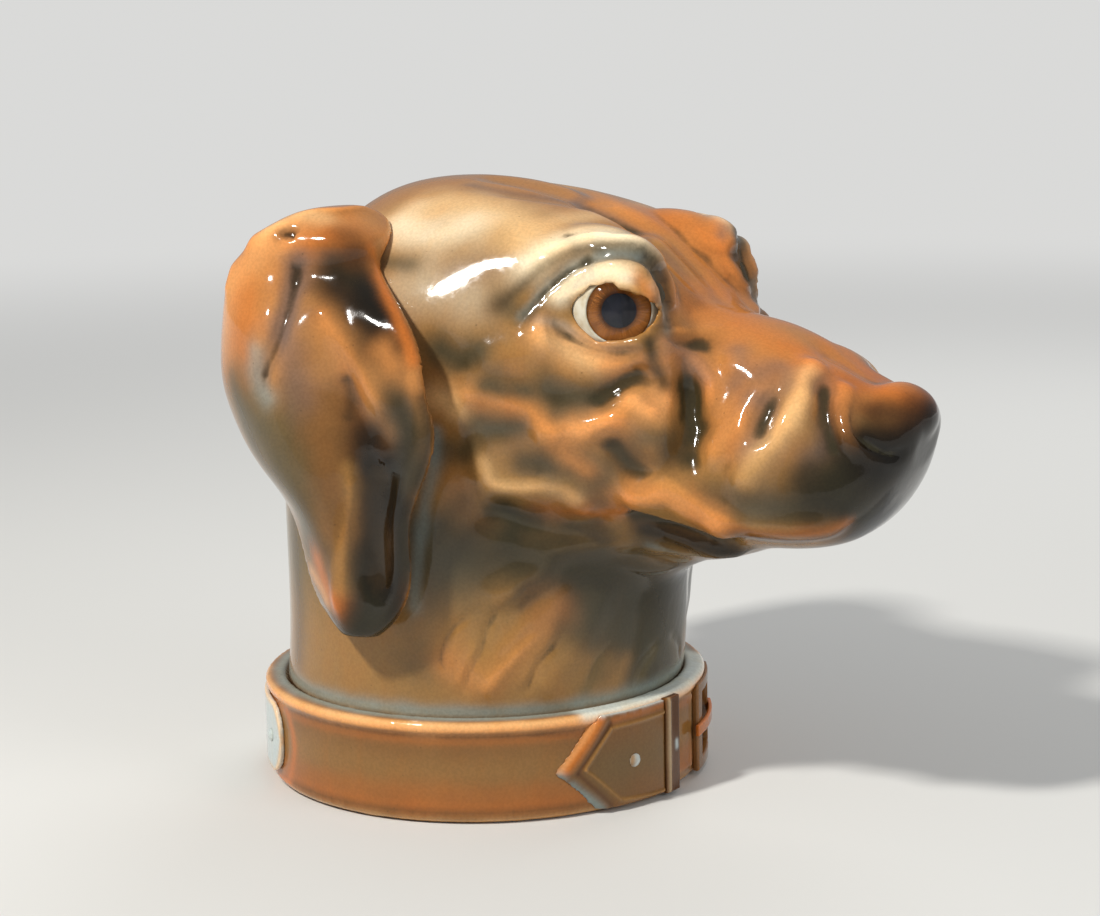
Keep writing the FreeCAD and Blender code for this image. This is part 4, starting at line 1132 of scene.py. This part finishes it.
@dataclass
class HeadCover:
    """The hollow head that is the jar's cover."""

    voxel: float = 0.90 * MM
    softening: int = 2
    inner_share: float = 0.09
    lid_turn: float = 20.0
    lid_drop: float = 9.0
    lid_near: float = 55.0
    lid_far: float = 92.0
    lid_reach: float = 20.0 * MM
    lid_fade: float = 6.0 * MM
    rim_far: float = 66.0
    rim_fade: float = 12.0
    rim_rounds: int = 12
    wall_lift: float = 0.3 * MM
    hollow_width: float = 0.16
    hollow_rounds: int = 12
    flat_spots: tuple[tuple[float, float, float, int], ...] = ((500, 450, 15, 26), (560, 500, 9, 14))
    bridge_spots: tuple[Pixel, ...] = ((860, 358), (870, 366), (884, 377))
    bridge_radius: float = 9
    bridge_rounds: int = 40
    pool_scale: float = 1.1

    def inner_points(self, clay: Clay) -> np.ndarray:
        """Find the wall of the hollow.

        Args:
            clay: the head.

        Returns:
            For each point, whether it lies on the hollow's wall.
        """
        hits = np.zeros(len(clay.points))
        for number, (point, normal) in enumerate(zip(clay.points, clay.normals)):
            outward = Vector(normal)
            start = Vector(point) + outward * self.wall_lift
            hits[number] = clay.tree.ray_cast(start, outward, self.hollow_width)[0] is not None
        return clay.smoothed(hits, self.hollow_rounds) > 0.5

    def thinned(self, mesh: bpy.types.Mesh) -> bpy.types.Mesh:
        """Take faces away from the hollow's wall.

        Args:
            mesh: the head's mesh.

        Returns:
            The new mesh.
        """
        inner = self.inner_points(Clay(mesh))
        carrier = link_object("carrier", mesh)
        wall = carrier.vertex_groups.new(name="hollow")
        wall.add(np.flatnonzero(inner).tolist(), 1.0, "REPLACE")
        thin = carrier.modifiers.new("fewer_faces", "DECIMATE")
        thin.vertex_group = "hollow"
        thin.ratio = 1 - (1 - self.inner_share) * float(inner.mean())
        return applied(carrier)

    def drop_lid(self, clay: Clay, centre: np.ndarray, gaze: np.ndarray, share: np.ndarray) -> None:
        """Lower the upper lid over the top of the iris.

        Args:
            clay: the head.
            centre: the eye's centre.
            gaze: unit vector in which the eye looks.
            share: how much each point of the head goes with the lids.
        """
        level = np.cross(gaze, (0, 0, 1))
        level /= np.linalg.norm(level)
        upright = np.cross(level, gaze)
        offset = clay.points - centre
        angle = -np.radians(self.lid_drop) * share * softly(offset @ upright / self.lid_fade)
        turned = np.cross(np.broadcast_to(level, offset.shape), offset)
        clay.points += offset * (np.cos(angle) - 1)[:, None] + turned * np.sin(angle)[:, None]

    def turn_lids(self, clay: Clay) -> None:
        """Turn the opening between the lids about each glass eye, a little towards the ear.

        Args:
            clay: the head.
        """
        for side, hand in (("right", 1), ("left", -1)):
            centre, gaze = eye_axis(side)
            offset = clay.points - centre
            distance = np.linalg.norm(offset, axis=1)
            away = np.degrees(np.arccos(np.clip(offset @ gaze / distance, -1, 1)))
            share = softly((self.lid_far - away) / (self.lid_far - self.lid_near))
            share *= softly((self.lid_reach - distance) / self.lid_fade)
            angle = np.radians(self.lid_turn) * share * hand
            along, across = offset[:, 0].copy(), offset[:, 1].copy()
            clay.points[:, 0] = centre[0] + along * np.cos(angle) + across * np.sin(angle)
            clay.points[:, 1] = centre[1] - along * np.sin(angle) + across * np.cos(angle)
            self.drop_lid(clay, centre, gaze, share)
            rim = softly((self.rim_far - away) / self.rim_fade) * (distance < self.lid_reach)
            even = clay.smoothed(clay.points, self.rim_rounds)
            clay.points += (even - clay.points) * rim[:, None]
        clay.write()

    def build(self, finish: bpy.types.Material) -> None:
        """Model, paint and place the head.

        Args:
            finish: its glaze.
        """
        mesh = self.thinned(remade("head_cover", self.voxel, self.softening))
        clay = Clay(mesh, mirrored=True)
        self.turn_lids(clay)
        for x, y, radius, rounds in self.flat_spots:
            clay.relax(x, y, radius, rounds)
        for layer in (HEAD_FORMS, HEAD_FOLDS):
            clay.model(layer)
        for x, y in self.bridge_spots:
            clay.relax(x, y, self.bridge_radius, self.bridge_rounds, (1,))
        clay.paint(Glaze.OCHRE, HEAD_GLAZES_AND_PAINTED_LIGHT, self.pool_scale)
        add_piece("head_modelled", mesh, finish, "cover", "head_glaze", "head_cover")


EAR_FOLDS = (
    roll(3.0, 0.8, (225, 300), (240, 252), (262, 236), (290, 225)),
    roll(1.6, -1.4, (280, 236), (288, 232), (296, 236)),
    roll(2.4, -1.6, (298, 255), (292, 290), (276, 340), (262, 372), (262, 400)),
    roll(3.0, 1.3, (312, 290), (330, 325), (350, 350), (375, 395), (390, 422)),
    roll(2.6, 1.2, (368, 240), (372, 265), (384, 292), (400, 325), (412, 355), (416, 390), (424, 430),
         (414, 480), (402, 520), (396, 560)),
    roll(5.0, -1.6, (380, 450), (382, 490), (380, 530), (376, 570), (368, 605)),
    roll(2.0, 1.0, (346, 455), (350, 490), (345, 530), (339, 565), (338, 600), (346, 628)),
    roll(2.4, -0.6, (345, 370), (350, 400), (345, 430)),
    roll(2.2, 0.8, (370, 446), (380, 452), (384, 466)),
)

EAR_GLAZES = (
    dab(Glaze.HONEY, 12, 0.9, (228, 340), (236, 290), (258, 250), (295, 228), (335, 230)),
    dab(Glaze.PEACH, 6, 0.8, (222, 340), (230, 290), (250, 255), (285, 228)),
    dab(Glaze.SAND, 3, 0.6, (270, 226), (300, 214), (325, 220)),
    dab(Glaze.ORANGE, 5, 0.7, (310, 245), (340, 238), (352, 262)),
    dab(Glaze.ORANGE, 5, 0.6, (245, 300), (240, 340), (246, 380)),
    dab(Glaze.BROWN, 5, 0.7, (345, 240), (362, 255), (366, 275)),
    dab(Glaze.BROWN, 2.0, 0.8, (280, 236), (292, 234)),
    dab(Glaze.OCHRE, 9, 0.8, (240, 410), (262, 450), (285, 500)),
    dab(Glaze.OLIVE, 9, 0.8, (246, 415), (272, 460), (298, 505), (314, 550), (326, 595)),
    dab(Glaze.SIENNA, 8, 0.7, (296, 420), (312, 470), (320, 520)),
    dab(Glaze.OLIVE, 8, 0.7, (276, 430), (296, 470), (308, 520), (312, 560)),
    dab(Glaze.SMOKE, 4, 0.6, (232, 380), (246, 430), (272, 480), (298, 530)),
    dab(Glaze.SMOKE, 8, 0.5, (246, 405), (270, 450), (296, 500), (314, 550), (326, 600)),
    dab(Glaze.SMOKE, 8, 0.5, (300, 440), (318, 490), (322, 530)),
    dab(Glaze.HONEY, 4, 0.7, (322, 318), (340, 352), (362, 392)),
    dab(Glaze.MOSS, 7, 0.95, (336, 272), (362, 288), (378, 308), (392, 338)),
    dab(Glaze.UMBER, 6, 0.85, (336, 288), (362, 312), (388, 344)),
    dab(Glaze.UMBER, 4, 0.8, (366, 290), (384, 318), (398, 348)),
    dab(Glaze.HONEY, 3.5, 0.8, (384, 352), (400, 378), (408, 396)),
    dab(Glaze.MAUVE, 3.5, 0.8, (300, 262), (292, 300), (284, 335)),
    dab(Glaze.STEEL, 3, 0.6, (256, 352), (258, 378), (268, 398)),
    dab(Glaze.MAUVE, 5, 0.6, (285, 330), (292, 370), (305, 400)),
    dab(Glaze.SMOKE, 5, 0.85, (400, 400), (408, 430), (410, 465), (400, 500)),
    dab(Glaze.BROWN, 5, 0.8, (350, 410), (364, 440), (378, 450)),
    dab(Glaze.SIENNA, 4, 0.7, (330, 400), (342, 450), (348, 480)),
    dab(Glaze.UMBER, 9, 1.0, (372, 470), (376, 510), (372, 560), (366, 610)),
    dab(Glaze.UMBER, 8, 1.0, (392, 470), (400, 520), (398, 570), (384, 616)),
    dab(Glaze.UMBER, 6, 0.8, (366, 440), (372, 470)),
    dab(Glaze.MOSS, 5, 0.8, (398, 410), (412, 440), (414, 480)),
    dab(Glaze.MOSS, 5, 0.8, (352, 560), (350, 600), (362, 632)),
    dab(Glaze.MOSS, 7, 0.9, (318, 620), (340, 634), (370, 628)),
    dab(Glaze.OCHRE, 2.4, 0.8, (346, 470), (352, 510), (344, 550), (340, 590)),
    dab(Glaze.ORANGE, 3.6, 0.9, (318, 562), (324, 582), (332, 602)),
    dab(Glaze.PEACH, 2.6, 0.8, (312, 572), (322, 590), (326, 600)),
    dab(Glaze.SIENNA, 5, 0.7, (318, 430), (330, 480), (330, 530)),
    dab(Glaze.ORANGE, 1.6, 0.7, (372, 250), (384, 285), (402, 325), (414, 360)),
    dab(Glaze.MOSS, 2.4, 0.7, (424, 400), (430, 440), (420, 490), (408, 530), (410, 580)),
)


@dataclass
class Ear:
    """The hanging ears; the left one is the right one's mirror image."""

    voxel: float = 0.75 * MM
    softening: int = 4
    pool_scale: float = 1.0

    def modelled(self) -> bpy.types.Mesh:
        """Model and paint the right ear.

        Returns:
            Its mesh.
        """
        clay = Clay(remade("right_ear", self.voxel, self.softening))
        clay.model(EAR_FOLDS)
        clay.paint(Glaze.TAN, EAR_GLAZES, self.pool_scale)
        return clay.mesh

    def mirrored(self, mesh: bpy.types.Mesh) -> bpy.types.Mesh:
        """Mirror an ear's mesh and turn its faces outwards again.

        Args:
            mesh: the ear's mesh.

        Returns:
            The other ear's mesh.
        """
        other = mesh.copy()
        other.transform(Matrix.Scale(-1, 4, Vector((0, 1, 0))))
        other.flip_normals()
        return other

    def build(self, finish: bpy.types.Material) -> None:
        """Model and place both ears.

        Args:
            finish: their glaze.
        """
        right = self.modelled()
        left = self.mirrored(right)
        for node, mesh in (("right_ear", right), ("left_ear", left)):
            add_piece(f"{node}_modelled", mesh, finish, "cover", "ear_glaze", node)


@dataclass
class GlassEye:
    """One set glass eye: opal white, amber iris, dark pupil and clear front, bedded in plaster."""

    side: str
    iris_radius: float = 7.2 * MM
    iris_forward: float = 0.12 * MM
    sharp_edge: float = 35.0

    def build(self, finishes: dict[str, bpy.types.Material]) -> None:
        """Place the eye's pieces, which keep the shapes of their CAD nodes.

        Args:
            finishes: the materials of glass and plaster by their slots.
        """
        slots = {"white": "opal_glass", "iris": "amber_glass", "pupil": "dark_glass",
                 "lens": "clear_glass", "plaster": "plaster"}
        centre, gaze = eye_axis(self.side)
        iris = np.array(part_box(f"{self.side}_eye_iris"))
        middle = centre + gaze * float((iris.mean(0) - centre) @ gaze)
        amber = IrisFinish(tuple(float(part) for part in middle), self.iris_radius).make()
        for part, slot in slots.items():
            node = f"{self.side}_eye_{part}"
            mesh = merged_copy(node)
            if part in ("iris", "pupil"):
                mesh.transform(Matrix.Translation(Vector(gaze) * self.iris_forward))
            finish = amber if part == "iris" else finishes[slot]
            add_piece(f"{node}_set", mesh, finish, "cover", slot, node)
            mesh.set_sharp_from_angle(angle=math.radians(self.sharp_edge))


COLLAR_FOLDS = (
    round_roll(0.5, 0.3, (-1.6, 3.2), (8.0, 3.2)),
    round_roll(0.5, 0.3, (-1.6, 20.2), (8.0, 20.2)),
    round_roll(0.5, 0.3, (8.0, 3.2), (8.0, 20.2)),
)

# Colours of the collar: glaze, with a painted highlight along the bead's top.
COLLAR_GLAZES_AND_HIGHLIGHT = (
    band(Glaze.OCHRE, 6.0, 0.55, *all_round(12.0)),
    band(Glaze.ORANGE, 3.0, 0.35, *all_round(7.0)),
    band(Glaze.ORANGE, 1.4, 0.5, *all_round(4.2)),
    band(Glaze.ORANGE, 1.0, 0.5, *all_round(19.6)),
    band(Glaze.BROWN, 0.7, 0.8, *all_round(20.9)),
    band(Glaze.BROWN, 0.6, 0.6, *all_round(2.6)),
    # The pale bands on the bead's rounded top: partly pale glaze thinning on the edge, partly a painted
    # highlight.
    band(Glaze.PEACH, 1.5, 0.95, *all_round(22.6)),
    band(Glaze.SAND, 0.8, 0.7, *all_round(23.4)),
    band(Glaze.SAND, 0.6, 0.7, *all_round(0.6)),
    ledge(Glaze.STEEL, 1.6, 0.9, *all_round(49.8)),
    ledge(Glaze.STEEL, 1.2, 0.6, *all_round(51.0)),
    ledge(Glaze.PALE_BLUE, 2.4, 0.95, (-33, 50.4), (-20, 50.8), (0, 51), (20, 51), (36, 50.6)),
    ledge(Glaze.PALE_BLUE, 1.6, 0.9, (-33, 52.8), (-20, 52.8), (0, 52.8), (20, 52.8), (34, 52.8)),
    ledge(Glaze.UMBER, 0.5, 0.8, (-180, 49.0), (-90, 49.0), (0, 49.0), (90, 49.0), (180, 49.0)),
    band(Glaze.ORANGE, 1.3, 0.9, (146, 12), (149, 4), (156, 1.8), (194, 1.8), (232, 1.8), (239, 4),
         (242, 12), (239, 19), (232, 21.2), (194, 21.2), (156, 21.2), (149, 19), (146, 12)),
    band(Glaze.BROWN, 1.6, 0.7, (-2.8, 2), (-2.8, 20)),
    band(Glaze.STONE, 0.5, 0.4, (-1.6, 3.2), (-1.6, 20.2), (8.0, 20.2), (8.0, 3.2), (-1.6, 3.2)),
)

STRAP_UPPER_EDGE = ((-34.6, 11.3), (-31.0, 15.6), (-27.6, 19.4), (-26.4, 20.0), (-18.0, 20.3), (-9.6, 20.5))
STRAP_LOWER_EDGE = ((-34.6, 11.3), (-30.0, 7.4), (-25.6, 3.4), (-23.9, 2.4), (-17.0, 1.9), (-9.8, 1.6))

STRAP_FOLDS = (
    round_roll(1.3, 0.35, (-39.6, 10.6), (-34.5, 16.6), (-29.7, 22.4)),
    round_roll(0.45, 0.34, *STRAP_UPPER_EDGE),
    round_roll(0.45, 0.34, *STRAP_LOWER_EDGE),
    round_roll(0.8, -0.25, (-36.4, 10.8), (-31.4, 16.6), (-27.6, 21.3)),
    round_roll(0.8, -0.2, (-36.4, 10.3), (-31.4, 5.6), (-27.2, 1.6)),
)

STRAP_GLAZES = (
    band(Glaze.OLIVE, 7, 0.5, (-30, 11), (-20, 11), (-12, 11)),
    band(Glaze.ORANGE, 1.6, 0.9, (-40.2, 10.8), (-35.0, 16.6), (-30.2, 22.4)),
    band(Glaze.PEACH, 0.9, 0.7, (-40.8, 11.2), (-35.4, 17.0), (-30.8, 22.6)),
    band(Glaze.STEEL, 1.7, 0.95, (-40.4, 9.8), (-34.8, 5.2), (-29.6, 0.9)),
    band(Glaze.BROWN, 0.8, 0.8, (-36.2, 10.6), (-31.2, 16.4), (-27.2, 21.3)),
    band(Glaze.BROWN, 0.8, 0.7, (-36.2, 10.4), (-31.4, 5.8), (-27.2, 1.6)),
    band(Glaze.ORANGE, 1.0, 0.5, (-26.4, 22.0), (-18.0, 22.2), (-9.6, 22.4)),
    band(Glaze.OCHRE, 0.5, 0.9, *STRAP_UPPER_EDGE),
    band(Glaze.OCHRE, 0.5, 0.9, *STRAP_LOWER_EDGE),
    ledge(Glaze.PALE_BLUE, 1.2, 0.9, (-29, 54.0), (-20, 54.0), (-10, 54.0)),
)

KEEPER_FOLDS = (
    round_roll(0.6, 0.35, (-8.0, 1.6), (-8.0, 22.6)),
)

# Colours of the keeper: glaze, with one small painted highlight.
KEEPER_GLAZES_AND_GLINT = (
    band(Glaze.OCHRE, 0.9, 0.9, (-8.2, 0), (-8.2, 23.4)),
    band(Glaze.STONE, 0.5, 0.6, (-8.2, 0), (-8.2, 23.4)),
    band(Glaze.BROWN, 1.1, 0.8, (-5.2, 0), (-5.2, 23.4)),
    # Painted highlight: a small pale glint on the keeper.
    band(Glaze.PALE_BLUE, 0.6, 0.9, (-5.0, 12.6), (-4.9, 11.2)),
)

STUD_GLAZES = (
    band(Glaze.OCHRE, 1.2, 0.9, (-21.4, 10.4), (-21.2, 12.2)),
)

PLATE_GLAZES = (
    band(Glaze.SAND, 0.8, 0.8, (152, 12), (156, 4.2), (164, 3.4), (194, 3.2), (224, 3.4), (232, 4.2),
         (236, 12), (232, 19.2), (224, 20), (194, 20.2), (164, 20), (156, 19.2), (152, 12)),
    band(Glaze.STEEL, 3.0, 0.5, (160, 8), (190, 15), (220, 8)),
)


@dataclass(frozen=True)
class ClayPlan:
    """How one CAD node of the collar is remade in soft clay and coloured: glaze, with painted highlights on
    the bead and the keeper.
    """

    node: str
    voxel: float
    rounds: int
    ground: Glaze
    folds: tuple[Stroke, ...] = ()
    brushes: tuple[Brush, ...] = ()
    pale: bool = False


COLLAR_PLANS = (
    ClayPlan("collar_base", 0.75, 1, Glaze.SIENNA, COLLAR_FOLDS, COLLAR_GLAZES_AND_HIGHLIGHT),
    ClayPlan("strap_tip", 0.22, 14, Glaze.SIENNA, STRAP_FOLDS, STRAP_GLAZES),
    ClayPlan("strap_keeper", 0.25, 4, Glaze.BROWN, KEEPER_FOLDS, KEEPER_GLAZES_AND_GLINT),
    ClayPlan("buckle_frame", 0.28, 5, Glaze.SIENNA),
    ClayPlan("buckle_tongue", 0.25, 4, Glaze.ORANGE),
    ClayPlan("strap_stud", 0.15, 1, Glaze.PALE_BLUE, (), STUD_GLAZES, True),
    ClayPlan("name_plate", 0.4, 3, Glaze.PALE_BLUE, (), PLATE_GLAZES, True),
    ClayPlan("plate_rivets", 0.2, 1, Glaze.PALE_BLUE, pale=True),
)


@dataclass
class StrapCollar:
    """The low pot that is made as a collar, and the clay pieces laid on it."""

    pool_scale: float = 0.8

    def build(self, collar: bpy.types.Material, pale: bpy.types.Material) -> None:
        """Build the pot and its applied pieces.

        Args:
            collar: the collar's glaze.
            pale: the pale glaze.
        """
        for plan in COLLAR_PLANS:
            clay = Clay(remade(plan.node, plan.voxel * MM, plan.rounds))
            clay.model(plan.folds)
            clay.paint(plan.ground, plan.brushes, self.pool_scale)
            add_piece(f"{plan.node}_soft", clay.mesh, pale if plan.pale else collar, "base",
                      "pale_glaze" if plan.pale else "collar_glaze", plan.node)


def main() -> None:
    """Build the camera, the studio and each sub-assembly of the jar."""
    logging.basicConfig(level=logging.INFO, format="%(message)s")
    CAMERA.build()
    Studio().build()
    majolica = Majolica().make()
    head = GlazeFinish("head_glaze", deep=(0.035, 0.030, 0.014)).make(majolica)
    ear = GlazeFinish("ear_glaze", deep=(0.028, 0.018, 0.008)).make(majolica)
    collar = GlazeFinish("collar_glaze", deep=(0.05, 0.025, 0.01)).make(majolica)
    pale = GlazeFinish("pale_glaze", deep=(0.25, 0.16, 0.08)).make(majolica)
    glass = {finish.name: finish.make() for finish in (
        GlassFinish("opal_glass", (0.66, 0.63, 0.52), (0.52, 0.44, 0.30)),
        GlassFinish("dark_glass", (0.010, 0.012, 0.020), (0.02, 0.02, 0.03)),
        GlassFinish("clear_glass", (0.97, 0.98, 0.97), (0.95, 0.95, 0.93), clear=True),
        PlasterFinish(),
    )}
    HeadCover().build(head)
    Ear().build(ear)
    for side in ("right", "left"):
        GlassEye(side).build(glass)
    StrapCollar().build(collar, pale)
    boxes = {"cad": CAD_BOX, "visual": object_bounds()}
    plain = {name: [list(corner) for corner in box] for name, box in boxes.items()}


if __name__ == "__main__":
    main()
